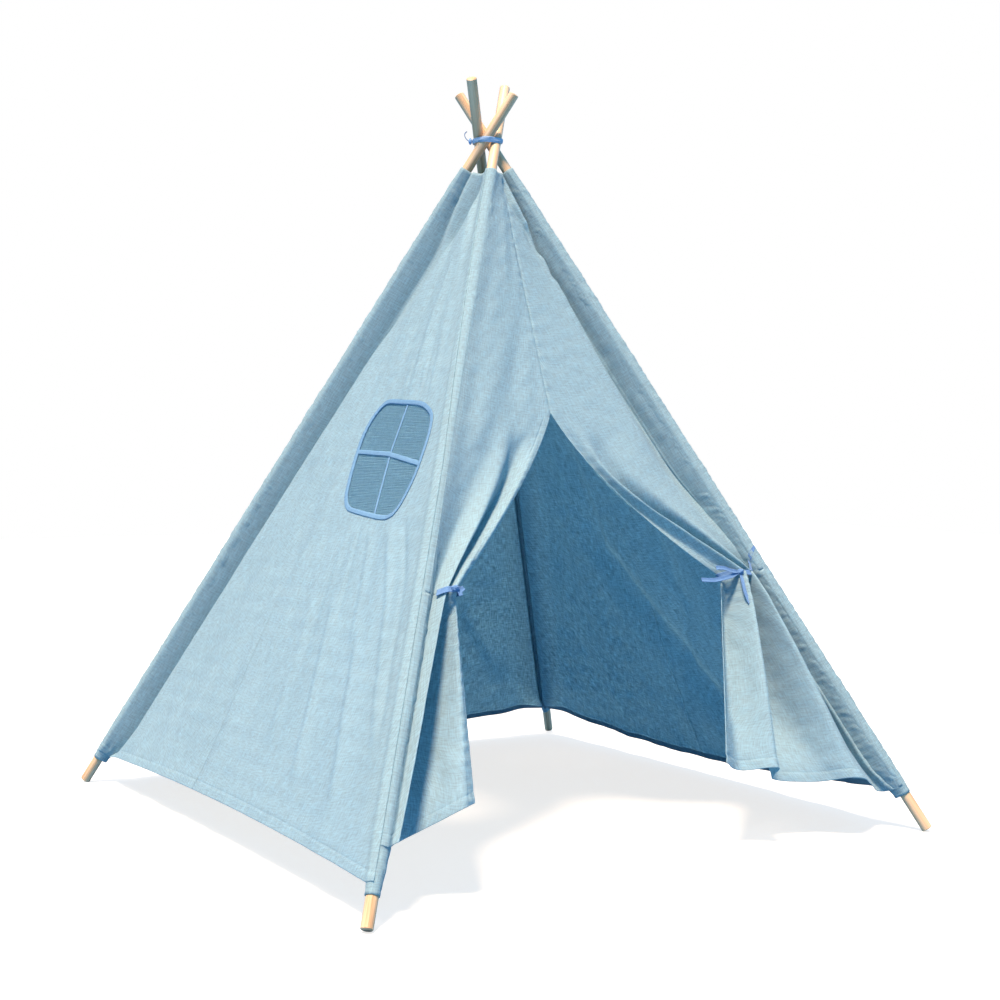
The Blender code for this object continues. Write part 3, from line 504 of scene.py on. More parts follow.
class Panel:
    """The cloth between two poles, from the first to the next one round. A share is a part of the way across it.
    Side 1 is the first pole's, and side -1 the last one's."""

    def __init__(self, first, last):
        self.first, self.last = FRAMES[first], FRAMES[last]
        down = unit(self.corner(1, HEM) - self.corner(1, COVER_TOP) + self.corner(-1, HEM) - self.corner(-1, COVER_TOP))
        self.out = unit(np.cross(down, unit(self.corner(-1, HEM) - self.corner(1, HEM))))
        self.slope = float(np.linalg.norm(self.point(0.5, 0.5) - self.point(0.5, 1.5)))

    def pole(self, side):
        return self.first if side > 0 else self.last

    def edge(self, side, degrees, drop):
        """A point of the cloth that hugs a sleeve."""
        return on_sleeve(self.pole(side), side * degrees, np.asarray(drop, float), CLOTH * 1.5 + CLEARANCE)

    def corner(self, side, drop):
        return self.edge(side, self.pole(side).seam_angle(drop), drop)

    def width(self, drop):
        return np.linalg.norm(self.corner(-1, drop) - self.corner(1, drop), axis=-1)

    def point(self, share, drop, lift=0.0):
        share, drop, lift = same_shape(share, drop, lift)
        low, high = self.corner(1, drop), self.corner(-1, drop)
        return low + (high - low) * share[..., None] + self.out * lift[..., None]

    def from_corner(self, side, reach, drop, lift):
        """A point at a distance from one corner along the panel, and a lift off it."""
        reach, drop, lift = same_shape(reach, drop, lift)
        near, far = self.corner(side, drop), self.corner(-side, drop)
        return near + unit(far - near) * reach[..., None] + self.out * lift[..., None]

    def flat(self, share, drop):
        """Where a point is on the panel laid flat, in metres from its middle line and from the crossing."""
        return (share - 0.5) * self.width(drop), drop * self.slope + 0 * share

    def bend(self, piece, side, start, end):
        """Bakes the piece's placement into its mesh; points start and end off the pole are worked out but not used."""
        way = unit(np.cross(self.pole(side).up, self.out))
        way = way * np.sign(way @ (self.corner(side, 1.0) - self.corner(-side, 1.0)))
        start, end = (tuple(self.corner(side, 0.9) - way * far) for far in (start, end))
        self.pole(side).body
        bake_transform(piece)


def fold_line(panel, share, drop, path, depth, width, far_width, fade=0.2):
    """A fold along a path of shares and drops. Its lift is depth times a bell of the distance to the path, as wide
    as width on its left side and as far_width on the other, and it fades over a part of its length at each end."""
    x, y = panel.flat(share, drop)
    spots = [panel.flat(*spot) for spot in path]
    best, side, along = np.full(x.shape, np.inf), np.ones(x.shape), np.zeros(x.shape)
    total = 0.0
    for (ax, ay), (bx, by) in zip(spots, spots[1:]):
        dx, dy = bx - ax, by - ay
        span = math.hypot(dx, dy)
        t = np.clip(((x - ax) * dx + (y - ay) * dy) / span**2, 0.0, 1.0)
        off_x, off_y = x - ax - t * dx, y - ay - t * dy
        closer = np.hypot(off_x, off_y) < best
        best = np.where(closer, np.hypot(off_x, off_y), best)
        side = np.where(closer, np.sign(dx * off_y - dy * off_x), side)
        along = np.where(closer, total + t * span, along)
        total += span
    ends = smooth_step(along / (fade * total)) * smooth_step((total - along) / (fade * total))
    return depth * bell(best, np.where(side > 0, width, far_width)) * ends


def folded(panel, share, drop, folds):
    """The sum of a panel's own folds."""
    return sum(fold_line(panel, share, drop, *fold) for fold in folds)


def hem_drop(share, drop, sag):
    """The hem's arc: drops grow by the sag in the middle, and by less higher up."""
    return drop + sag * 4 * share * (1 - share) * (drop / HEM) ** 2


def plain_lift(panel, share, drop, seed, folds):
    """Tension lines that fan out from the crossing, smaller crumples, and the panel's own folds."""
    x, y = panel.flat(share, drop)
    lift = 0.0016 * ripples(np.arctan2(x, y) * 1.1, y * 0.12, seed, 2, 0.16, 8) * smooth_step(y / 0.5)
    lift += 0.0010 * ripples(x, y * 0.5, seed + 1, 20, 0.110, 40) + 0.0004 * ripples(x, y, seed + 2, 30, 0.045, 60)
    hold = smooth_step(np.minimum(share, 1 - share) * panel.width(drop) / 0.12)
    return (lift + folded(panel, share, drop, folds)) * hold


def hem_detail(below, across, seed):
    """The double cloth of a hem: a little thicker below its stitches, pulled in along them, and puckered there."""
    off = below - HEM_STITCHES
    puckers = 0.0007 * ripples(across, below * 0.4, seed, 0, 0.016, 12) * bell(off, 0.010)
    return puckers - 0.0007 * bell(off, 0.0016) + 0.0003 * (off < 0)


def raised(points, amount):
    """The grid moved along its own normals."""
    return points + grid_normals(points) * amount[..., None]


def hemmed(points, seed):
    """A panel's grid with its hem, and how far down, across and above its edge each point lies."""
    down, across = measured(points, 0), measured(points, 1)
    below = down[-1:] - down
    return raised(points, hem_detail(below, across, seed)), down, across, below


def curve_weights(count, places):
    """Weights on count control points, with one more drawn out past each end, for a Catmull-Rom curve at places."""
    first = np.minimum(places.astype(int), count - 2)
    t = places - first
    weights = np.zeros((len(places), count + 2))
    parts = (-t + 2 * t**2 - t**3, 2 - 5 * t**2 + 3 * t**3, t + 4 * t**2 - 3 * t**3, -(t**2) + t**3)
    for step, part in enumerate(parts):
        weights[np.arange(len(places)), first + step] += 0.5 * part
    weights[:, 1] += 2 * weights[:, 0]
    weights[:, 2] -= weights[:, 0]
    weights[:, -2] += 2 * weights[:, -1]
    weights[:, -3] -= weights[:, -1]
    return weights[:, 1:-1]


def fin_controls(panel, side, drops, depth):
    """Points on the cloth that lies on a sleeve's side and goes down the wall of its fin to the valley, in order."""
    pole = panel.pole(side)
    narrow = np.clip(sleeve_bore(drops) / WIDE, 0.72, 1.0)
    points = [panel.edge(side, angle + 0 * drops, drops) for angle in (122, 100)]
    for along, inward in FIN_WALL:
        inward = sleeve_shift(drops) + inward * depth
        points.append(pole.place(side * along * narrow, inward, pole.own_drop(drops)))
    return points


def cover_piece(name, points, maps, cloth, held, panel, side, bend, *replaced, keep=None):
    """Cloth of the cover beside one pole. It swings with the pole, or with bend is only baked in place."""
    mesh = surface_mesh(name, points, maps, keep=keep)
    piece = new_piece(name, mesh, cloth, "blue_cotton", *replaced, thickness=CLOTH)
    if bend:
        panel.bend(piece, side, *bend)
    else:
        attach(piece, panel.pole(side).body)
    f"sleeve_cloth_{panel.pole(side).name}"


def panel_half(name, panel, side, split, cloth, sag, seed, bend, lift_at, *replaced):
    """Half of a panel, from one pole's sleeve to a share of the width. Its first columns are a smooth curve down the
    fin of the sleeve and up the valley beside it, and its others lie on the panel. Detail moves each point along the
    cloth's own normal."""
    width = panel.width(PANEL_DROPS)
    away = np.minimum(0.115, 0.38 * width)
    reach = away + (width * (split if side > 0 else 1 - split) - away) * np.linspace(0.0, 1.0, 84)[None, :]

    def body(reach):
        share = reach / width if side > 0 else 1 - reach / width
        return panel.point(share, hem_drop(share, PANEL_DROPS, sag), lift_at(share, PANEL_DROPS))

    hung = body(reach)
    controls = fin_controls(panel, side, PANEL_DROPS, fin_depth(panel.pole(side), PANEL_DROPS))
    controls = np.concatenate([*controls, body(away * 0.52), hung[:, :1], body(away * 1.5)], axis=1)
    weights = curve_weights(controls.shape[1], np.linspace(0.0, controls.shape[1] - 2.0, 44))
    points = np.concatenate([np.einsum("rck,nc->rnk", controls, weights)[:, :-1], hung], axis=1)
    if side < 0:
        points = points[:, ::-1]
    points, down, across, below = hemmed(points, seed)
    maps = {"cloth": (across, down), "border": (below, across)}
    cover_piece(name, points, maps, cloth, "stretched", panel, side, bend, *replaced)


def rear_panel(name, panel, sag, seed, folds):
    """Both halves of a plain panel, which meet in its middle."""

    def lift_at(share, drop):
        return plain_lift(panel, share, drop, seed, folds)

    panel_half(f"{name}_first_half", panel, 1, 0.5, backed_cotton, sag, seed + 5, REAR_BEND, lift_at, name)
    panel_half(f"{name}_last_half", panel, -1, 0.5, backed_cotton, sag, seed + 6, REAR_BEND, lift_at)


RIGHT_FOLDS = (
    (((0.70, 0.55), (0.62, 0.95), (0.40, 1.25), (0.30, 1.40)), 0.008, 0.020, 0.045),
    (((0.30, 0.70), (0.35, 1.05), (0.52, 1.40)), 0.006, 0.025, 0.025),
)
BACK_FOLDS = (
    (((0.32, 0.80), (0.20, 1.15), (0.08, 1.40)), 0.008, 0.030, 0.018),
    (((0.70, 0.60), (0.75, 1.00), (0.86, 1.35)), 0.006, 0.022, 0.022),
)
rear_panel("right_panel", Panel("right", "back"), 0.048, 310, RIGHT_FOLDS)
rear_panel("back_panel", Panel("back", "left"), 0.034, 320, BACK_FOLDS)

# Window panel
# This side's cloth goes on round the front pole's sleeve to a seam on its outer line. It has a round-cornered opening
# near that pole. The cloth round the opening puckers above and below it, because the binding holds it tighter.

WINDOW = Panel("left", "front")
WINDOW_DROP = 0.742
WINDOW_SHARE = 0.701
WINDOW_SPLIT = 0.40
WINDOW_SAG = -0.014
WINDOW_BEND = (0.30, 0.03)
WINDOW_EDGE = np.array((
    (-0.092, -0.121), (-0.030, -0.120), (0.032, -0.116), (0.069, -0.107), (0.101, -0.088), (0.117, -0.054),
    (0.124, -0.016), (0.128, 0.028), (0.124, 0.068), (0.114, 0.097), (0.097, 0.113), (0.060, 0.118), (-0.040, 0.110),
    (-0.078, 0.102), (-0.101, 0.082), (-0.116, 0.048), (-0.129, -0.002), (-0.135, -0.050), (-0.124, -0.092),
))
WINDOW_FOLDS = (
    (((0.90, 0.09), (0.85, 0.20), (0.73, 0.42), (0.72, 0.61)), 0.0050, 0.010, 0.022, 0.15),
    (((0.78, 0.12), (0.72, 0.24), (0.60, 0.42), (0.60, 0.60)), 0.0022, 0.012, 0.012),
    (((0.52, 0.20), (0.50, 0.42), (0.50, 0.60)), 0.0016, 0.014, 0.014),
    (((0.66, 0.52), (0.66, 0.62)), 0.0018, 0.006, 0.006),
    (((0.78, 0.50), (0.79, 0.62)), 0.0020, 0.006, 0.006),
    (((0.84, 0.47), (0.86, 0.63)), -0.0018, 0.007, 0.007),
    (((0.61, 0.86), (0.614, 0.96), (0.63, 1.12)), 0.0020, 0.007, 0.012),
    (((0.72, 0.86), (0.77, 1.00), (0.80, 1.16)), 0.0022, 0.007, 0.012),
    (((0.82, 0.86), (0.90, 1.02), (0.955, 1.30)), 0.0026, 0.008, 0.013),
    (((0.88, 0.84), (0.955, 0.98), (0.970, 1.30)), -0.0022, 0.008, 0.008),
    (((0.67, 0.86), (0.69, 0.98), (0.71, 1.10)), -0.0016, 0.006, 0.008),
    (((0.18, 0.30), (0.24, 0.53), (0.22, 0.80)), 0.0030, 0.020, 0.030),
    (((0.57, 1.02), (0.59, 1.16), (0.60, 1.36)), 0.0034, 0.014, 0.020),
    (((0.44, 0.92), (0.40, 1.06), (0.38, 1.26)), 0.0036, 0.012, 0.020),
    (((0.50, 0.90), (0.47, 1.02), (0.46, 1.20)), 0.0030, 0.010, 0.016),
    (((0.66, 1.00), (0.70, 1.20), (0.73, 1.42)), 0.0034, 0.010, 0.018),
    (((0.80, 1.05), (0.84, 1.22), (0.87, 1.42)), 0.0034, 0.010, 0.018),
    (((0.25, 0.95), (0.30, 1.16), (0.27, 1.40)), 0.0028, 0.020, 0.030),
)


def smooth_curve(points, count):
    """Points along a smooth curve through the given ones."""
    return curve_weights(len(points), np.linspace(0.0, len(points) - 1, count)) @ np.asarray(points, float)


def window_outline(offset, count=190):
    """A smooth closed loop round the window, moved out by an offset along its own normal."""
    wrapped = np.concatenate([WINDOW_EDGE[-3:], WINDOW_EDGE, WINDOW_EDGE[:4]])
    fine = smooth_curve(wrapped, 25 * 40 + 1)[3 * 40 : 22 * 40]
    fine = fine[np.linspace(0, len(fine), count, endpoint=False).astype(int)]
    way = unit(np.roll(fine, -1, axis=0) - np.roll(fine, 1, axis=0))
    return fine + offset * np.stack([way[:, 1], -way[:, 0]], axis=-1)


def window_spot(along, down):
    """The share and drop of a point of the window's own plane, along the panel and down it from its centre."""
    drop = WINDOW_DROP + down / WINDOW.slope
    centre = (WINDOW_SHARE - 0.5) * WINDOW.width(WINDOW_DROP)
    return 0.5 + (centre + along) / WINDOW.width(drop), drop


def window_lift(share, drop):
    """The panel's tension lines and folds, which die out at the binding, where the cloth is held flat, and a valley
    beside the left sleeve."""
    x, y = WINDOW.flat(share, drop)
    lift = 0.0012 * ripples(np.arctan2(x, y) * 1.1, y * 0.12, 41, 2, 0.13, 8) * smooth_step(y / 0.5)
    lift += 0.0009 * ripples(x, y * 0.4, 42, 12, 0.080, 25) + 0.0004 * ripples(x, y, 43, 30, 0.040, 60)
    lift = lift + folded(WINDOW, share, drop, WINDOW_FOLDS)
    centre_x, centre_y = WINDOW.flat(*window_spot(0.0, 0.0))
    far = np.maximum(np.abs(x - centre_x) / 0.128, np.abs(y - centre_y) / 0.118)
    lift = lift * (0.12 + 0.88 * smooth_step((far - 0.98) / 0.28))
    from_left, from_front = share * WINDOW.width(drop), (1 - share) * WINDOW.width(drop)
    hold = smooth_step(from_left / 0.12) * smooth_step(from_front / 0.018)
    dip = bell(from_left - 0.052, 0.026) * smooth_step((0.55 - drop) / 0.35) * smooth_step(from_front / 0.030)
    return lift * hold - 0.034 * dip


def inside_loop(x, y, loop):
    """True where a point is inside a closed loop: a ray to the right crosses it an odd number of times."""
    inside = np.zeros(x.shape, bool)
    for (ax, ay), (bx, by) in zip(loop, np.roll(loop, -1, axis=0)):
        with np.errstate(divide="ignore", invalid="ignore"):
            inside ^= ((ay > y) != (by > y)) & (x < ax + (y - ay) * (bx - ax) / (by - ay))
    return inside


def front_seam(drop):
    """The angle round the front sleeve at which the window side's cloth ends: it drifts outward on its way down."""
    return np.interp(drop, (0.14, 0.40, 0.565, 0.755), (151.0, 161.0, 173.0, 192.0))


def window_front_half():
    """From the split to the front pole and on round its sleeve to the seam, which has a raised and stitched lip. The
    squares inside the window's outline are left out."""
    shares = np.append(np.linspace(WINDOW_SPLIT, 0.985, 136), [0.992, 1.0])[None, :]
    wrap = np.linspace(0.0, 1.0, 16)[None, 1:]
    hung = WINDOW.point(shares, hem_drop(shares, PANEL_DROPS, WINDOW_SAG), window_lift(shares, PANEL_DROPS))
    start = WINDOW.last.seam_angle(PANEL_DROPS)
    wrapped = WINDOW.edge(-1, start + (front_seam(PANEL_DROPS) - start) * wrap, PANEL_DROPS)
    points, down, across, below = hemmed(np.concatenate([hung, wrapped], axis=1), 332)
    to_seam = across[:, -1:] - across
    lip = 0.0008 * smooth_step(1 - to_seam / 0.006) - 0.0004 * bell(to_seam - 0.008, 0.002)
    lip += 0.0004 * ripples(down, to_seam, 333, 0, 0.014, 10) * bell(to_seam - 0.006, 0.010)
    points = raised(points, lip)
    grids = WINDOW.flat(np.concatenate([shares, 1.2 + wrap], axis=1), PANEL_DROPS)
    middles = [(grid[:-1, :-1] + grid[1:, 1:]) / 2 for grid in grids]
    x, y = (middle - centre for middle, centre in zip(middles, WINDOW.flat(*window_spot(0.0, 0.0))))
    keep = ~inside_loop(x, y, window_outline(-0.0045, 76))
    maps = {"cloth": (across, down), "border": (below, across)}
    name = "window_panel_front_half"
    cover_piece(name, points, maps, cotton, "stretched", WINDOW, -1, WINDOW_BEND, "window_panel", keep=keep)


panel_half("window_panel_left_half", WINDOW, 1, WINDOW_SPLIT, cotton, WINDOW_SAG, 331, (0.20, 0.03), window_lift)
window_front_half()

# Window
# A fine net behind the opening, sewn in under a folded ribbon binding that goes over the cut edge. Two flat tapes
# cross in front of the net and end under the binding.

FLAT_RIBBON = 0.0005
BINDING = (
    (-0.0004, 0.0008), (0.0, 0.0016), (-0.0007, 0.0020), (-0.0030, 0.0019), (-0.0060, 0.0018), (-0.0083, 0.0017),
    (-0.0092, 0.0008), (-0.0092, -0.0006), (-0.0083, -0.0012), (-0.0050, -0.0013), (-0.0010, -0.0012),
)


def ribbon_cloth(name, low, high, pitch=0.0006):
    """Fine close ribbon, which lets little light through."""
    return woven_cloth(name, low, high, pitch, 0.0003, 0.10)


def on_window(along, down, lift):
    """A point of the window that follows the panel's own folds, at a lift off its cloth."""
    share, drop = window_spot(along, down)
    return WINDOW.point(share, hem_drop(share, drop, WINDOW_SAG), window_lift(share, drop) + lift)


def binding():
    """A folded ribbon: its section goes from the outer edge in front, over the cut edge, to the back, and is
    carried round the window's outline."""
    along = np.linspace(0.0, 0.86, 380)
    pucker = 0.0002 * ripples(along, 0 * along, 51, 0, 0.011, 5)
    points = np.stack([on_window(*window_outline(offset, 380).T, lift + pucker) for offset, lift in BINDING])
    width = np.linspace(0.0, 0.020, len(BINDING))[:, None] + np.zeros((1, 381))
    length = np.append(along, 0.8623)[None, :] + 0 * width
    mesh = surface_mesh("window_ribbon", points, {"cloth": (length, width)}, closed=True)
    sheet = {"thickness": FLAT_RIBBON, "offset": 1.0}
    piece = new_piece("window_ribbon", mesh, ribbon_pale, "blue_ribbon", "window_binding", **sheet)
    WINDOW.bend(piece, -1, *WINDOW_BEND)


def net_threads():
    """Fine net: flat threads both ways at one pitch, each a narrow strip cut off at the window's outline."""
    pitch, half = 0.0031, 0.00040
    loop = window_outline(-0.004, 190)
    strips = []
    for axis in (0, 1):
        a, b = loop[:, axis], np.roll(loop[:, axis], -1)
        other_a, other_b = loop[:, 1 - axis], np.roll(loop[:, 1 - axis], -1)
        for place in np.arange(-0.140, 0.140, pitch):
            hit = (a > place) != (b > place)
            if hit.sum() < 2:
                continue
            cut = other_a[hit] + (place - a[hit]) * (other_b[hit] - other_a[hit]) / (b[hit] - a[hit])
            run = np.linspace(cut.min(), cut.max(), 40)
            middle = place + 0.0004 * np.sin(run * 60 + place * 300)
            lift = -0.0017 + (0.0002 if axis else -0.0002)
            sides = (middle - half, middle + half)
            strips.append([on_window(run, side, lift) if axis else on_window(side, run, lift) for side in sides])
    grid = np.array(strips)
    index = np.arange(grid.size // 3).reshape(grid.shape[:3])
    quads = np.stack([index[:, 0, :-1], index[:, 1, :-1], index[:, 1, 1:], index[:, 0, 1:]], axis=-1).reshape(-1, 4)
    mesh = bpy.data.meshes.new("net_threads")
    mesh.from_pydata(grid.reshape(-1, 3).tolist(), [], quads.tolist())
    mesh.shade_smooth()
    piece = new_piece("net_threads", mesh, net, "window_net", "window_net", thickness=0.0003)
    WINDOW.bend(piece, -1, *WINDOW_BEND)


def ribbon_strip(name, points, material, thickness, *node):
    """A ribbon given as a grid, rows across its width."""
    mesh = surface_mesh(name, points, {"cloth": (measured(points, 1), measured(points, 0))})
    return new_piece(name, mesh, material, "blue_ribbon", *node, thickness=thickness)


def edge_along(start, way, loop):
    """Where a line from inside the window reaches a loop."""
    side = loop - np.roll(loop, -1, axis=0)
    to = loop - start
    cross = way[0] * side[:, 1] - way[1] * side[:, 0]
    distance = (to[:, 0] * side[:, 1] - to[:, 1] * side[:, 0]) / cross
    share = (way[0] * to[:, 1] - way[1] * to[:, 0]) / cross
    return start + way * distance[(distance > 0) & (share >= 0) & (share <= 1)][0]


def window_tape(name, line, width, lift, node):
    """A tape whose two halves meet at a slight angle: straight rows from one side of the window to the other."""
    start, middle, end = np.array(line)
    loop = window_outline(-0.006, 190)
    first, last = (edge_along(middle, unit(spot - middle), loop) for spot in (start, end))
    share = np.linspace(0, 1, 40)[:, None]
    path = np.concatenate([first + (middle - first) * share, middle + (last - middle) * share[1:]])
    flow = unit(np.gradient(path, axis=0))
    flow = unit(flow + np.roll(flow, 1, axis=0) + np.roll(flow, -1, axis=0))
    flow[0], flow[-1] = flow[1], flow[-2]
    aside = np.stack([-flow[:, 1], flow[:, 0]], axis=-1)
    offsets = np.linspace(-width / 2, width / 2, 7)[:, None]
    spots = path[None] + aside[None] * offsets[..., None]
    cup = 0.0003 * (offsets / (width / 2)) ** 2
    points = on_window(spots[..., 0], spots[..., 1], lift - cup)
    WINDOW.bend(ribbon_strip(name, points, ribbon_pale, FLAT_RIBBON, node), -1, *WINDOW_BEND)


UPRIGHT_LINE = ((-0.009, -0.110), (0.001, -0.012), (0.033, 0.105))
LEVEL_LINE = ((-0.122, -0.015), (-0.003, -0.010), (0.111, 0.006))
ribbon_pale = ribbon_cloth("blue_ribbon_pale", (0.11, 0.24, 0.40), (0.15, 0.30, 0.47), 0.0007)
net = woven_cloth("net_thread", (0.15, 0.31, 0.42), (0.20, 0.37, 0.48), 0.0006, 0.0002, 0.15)
binding()
net_threads()
window_tape("window_cross_tape_upright", UPRIGHT_LINE, 0.006, -0.0004, "window_tape_upright")
window_tape("window_cross_tape_level", LEVEL_LINE, 0.009, 0.0005, "window_tape_level")

# Door
# The door side is two cotton halves, sewn together down the middle as far as the door's peak. Below it each half is
# gathered to its own pole by a ribbon and falls open under it in deep folds. The left half also goes round the front
# pole's sleeve to the seam where the window side ends. The free edges are hemmed.

DOOR = Panel("front", "right")
APEX_DROP = 0.638
TIE_DROP = 1.000
SEAM_SHARE = 0.446


def through(values, t):
    """A smooth curve at t from 0 to 1 through three values, the middle one half way."""
    first, middle, last = values
    return first * (2 * t - 1) * (t - 1) + middle * 4 * t * (1 - t) + last * t * (2 * t - 1)


class Flap:
    """Half of the door. Each fold line has its share of the cloth's width, then its share of the way to the free edge
    and its depth, half way to the tie, at the tie and at the hem, and how much deeper it is between the last two."""

    def __init__(self, side, folds, seam_share, tie_reach, hem_reach, hem_rise, bow):
        self.side, self.seam_share = side, seam_share
        self.folds = np.array(folds).T[:, None, :]
        self.tie_reach, self.hem_reach, self.hem_rise, self.bow = tie_reach, hem_reach, hem_rise, bow

    def rows(self, steps):
        """For every row: the reach, drop and lift of each fold line. Above the peak the cloth is flat. Down to the
        tie the free edge swings in as a power of t. Below the tie reach and depth change evenly to the hem."""
        share, mid_share, mid_depth, tie_share, tie_depth, hem_share, hem_depth, hollow = self.folds
        hem = HEM - self.hem_rise[0] - (self.hem_rise[1] - self.hem_rise[0]) * hem_share
        flat_drops = np.linspace(COVER_TOP, APEX_DROP, steps[0], endpoint=False)[:, None]
        width = DOOR.width(flat_drops) * self.seam_share - CLEARANCE / 2
        flat = (share * width, flat_drops + 0 * share, 0 * share * width)
        t = np.linspace(0.0, 1.0, steps[1], endpoint=False)[:, None]
        start = float(DOOR.width(np.array(APEX_DROP))) * self.seam_share - CLEARANCE / 2
        edge = start + (self.tie_reach - start) * t**self.bow
        reach = edge * through((share, mid_share, tie_share), t + (smooth_step(t) - t) * (1 - t))
        lift = through((0.0, mid_depth, tie_depth), t) * (1 - (1 - t) ** 4) * smooth_step(t / 0.25)
        gather = (reach, APEX_DROP + (TIE_DROP - APEX_DROP) * t + 0 * reach, lift)
        t = np.append(np.linspace(0.0, 1 - 0.072, steps[2]), np.linspace(1 - 0.070, 1.0, 17))[:, None]
        reach = (1 - t) * tie_share * self.tie_reach + t * hem_share * self.hem_reach
        hollow = hollow * (t / 0.30) * np.exp(1 - t / 0.30) * smooth_step((1 - t) / 0.35)
        fall = (reach, TIE_DROP + (hem - TIE_DROP) * t, (1 - t) * tie_depth + t * hem_depth - hollow)
        return [np.concatenate(parts) for parts in zip(flat, gather, fall)]


def beside_flap(flap, near):
    """The cloth between the pole and the flap's first fold: round the front sleeve from the window side's seam, or
    down the fin of the right one, which is flatter at the tie. Also says how many fold lines it takes the place of."""
    if flap.side > 0:
        start = DOOR.pole(1).seam_angle(near)
        return [DOOR.edge(1, start + (358.5 - front_seam(near) - start) * part, near) for part in (1.0, 0.66, 0.33)], 0
    flatter = 0.72 * smooth_step((near - 0.72) / 0.26) * (1 - 0.45 * smooth_step((near - 1.03) / 0.2))
    return fin_controls(DOOR, -1, near, fin_depth(DOOR.pole(-1), near) * (1 - flatter)), 1


def door_half(name, flap, columns, steps, folds, seed, bend):
    """Rows of the flap's folds, each a smooth curve across them, with the cloth that hugs the sleeve before them.
    The stitched free edge starts at the door's peak. The cloth under the tie swings with its pole."""
    reach, drop, lift = flap.rows(steps)
    near = drop[:, :1]
    beside, first = beside_flap(flap, near)
    reach, drop, lift = (grid[:, first:] for grid in (reach, drop, lift))
    count = len(beside) + reach.shape[1]
    weights = curve_weights(count, np.linspace(0.0, count - 1, columns))
    level = np.concatenate([near] * len(beside) + [drop], axis=1) @ weights.T
    spread = np.concatenate([0 * near] * len(beside) + [reach], axis=1) @ weights.T
    controls = np.concatenate([*beside, DOOR.from_corner(flap.side, reach, drop, lift)], axis=1)
    points = np.einsum("rck,nc->rnk", controls, weights)
    points = points + DOOR.out * upper_door_lift(flap.side, spread, level, folds, seed - 2)[..., None]
    down, across = measured(points, 0), measured(points, 1)
    below, aside = down[-1:] - down, across[:, -1:] - across
    free = smooth_step((level - APEX_DROP) / 0.02)
    edge = 0.0006 * ripples(down, aside, seed + 1, 0, 0.018, 10) * bell(aside - 0.012, 0.012)
    edge = edge - 0.0006 * bell(aside - 0.014, 0.0016)
    seam = 0.0005 * ripples(down, aside, seed + 2, 0, 0.020, 12) * bell(aside, 0.016) - 0.0012 * bell(aside, 0.0030)
    crumple = 0.0006 * ripples(across, down * 0.4, seed + 3, 8, 0.060, 20)
    crumple = crumple + 0.0003 * ripples(across, down, seed + 4, 30, 0.040, 60)
    detail = hem_detail(below, across, seed) + free * edge + (1 - free) * seam
    detail = detail + crumple * smooth_step(across / 0.03) * smooth_step(aside / 0.02)
    points = raised(points, flap.side * detail)
    edge_map = np.where(free > 0.5, aside, 0.5)
    grids = [points, across, down, np.minimum(below, edge_map), np.where(below < edge_map, across, down)]
    if flap.side < 0:
        grids = [grid[:, ::-1] for grid in grids]
        grids[1] = -grids[1]
    tie = steps[0] + steps[1]
    for part, rows in (("flap", slice(0, tie + 1)), ("skirt", slice(tie, None))):
        points, across, down, to_edge, along_edge = (grid[rows] for grid in grids)
        maps = {"cloth": (across, down), "border": (to_edge, along_edge)}
        upper = (bend, f"door_panel_{name}") if part == "flap" else (None,)
        cover_piece(f"door_{part}_{name}", points, maps, cotton, "gathered", DOOR, flap.side, *upper)


def upper_door_lift(side, reach, drop, folds, seed):
    """Tension lines and folds of the flat part above the door's peak. The lines die out towards it."""
    hold = smooth_step(reach / 0.03) * smooth_step((APEX_DROP + 0.12 - drop) / 0.2) * smooth_step((drop - 0.12) / 0.3)
    lift = hold * 0.0012 * ripples(side * reach, drop * DOOR.slope * 0.3, seed, 8, 0.10, 14, 6)
    share = reach / DOOR.width(drop) if side > 0 else 1 - reach / DOOR.width(drop)
    return lift + folded(DOOR, share, drop, folds)


LEFT_FLAP = (
    (0.00, 0.00, 0.000, 0.00, 0.000, 0.00, 0.000, 0.0),
    (0.28, 0.34, -0.014, 0.22, -0.008, 0.06, -0.002, 0.0),
    (0.52, 0.62, 0.006, 0.47, 0.014, 0.10, 0.006, 0.0),
    (0.64, 0.74, -0.020, 0.50, -0.012, 0.140, -0.034, 0.042),
    (0.74, 0.80, -0.022, 0.60, 0.007, 0.34, -0.062, 0.066),
    (0.84, 0.87, -0.004, 0.74, 0.016, 0.60, -0.036, 0.046),
    (0.93, 0.94, 0.006, 0.90, 0.006, 0.84, 0.004, 0.004),
    (1.00, 1.00, 0.003, 1.00, -0.005, 1.00, 0.000, 0.0),
)
RIGHT_FLAP = (
    (0.00, 0.00, 0.000, 0.00, 0.000, 0.00, 0.000, 0.0),
    (0.24, 0.32, 0.000, 0.07, -0.012, 0.05, -0.024, 0.024),
    (0.46, 0.62, 0.010, 0.26, 0.020, 0.28, 0.032, -0.010),
    (0.60, 0.76, -0.014, 0.36, -0.010, 0.43, -0.022, 0.052),
    (0.70, 0.81, -0.018, 0.43, -0.012, 0.64, -0.040, 0.072),
    (0.80, 0.87, 0.008, 0.51, 0.024, 0.74, 0.022, -0.008),
    (0.92, 0.94, -0.010, 0.76, 0.006, 0.87, -0.020, 0.026),
    (1.00, 1.00, 0.002, 1.00, -0.004, 1.00, 0.006, 0.0),
)
LEFT = Flap(1, LEFT_FLAP, SEAM_SHARE, 0.053, 0.148, (0.055, 0.105), 1.35)
RIGHT = Flap(-1, RIGHT_FLAP, 1 - SEAM_SHARE, 0.084, 0.349, (0.000, 0.106), 1.9)
LEFT_CREASES = ((((0.36, 0.12), (0.30, 0.25), (0.26, 0.42)), 0.0020, 0.012, 0.020),)
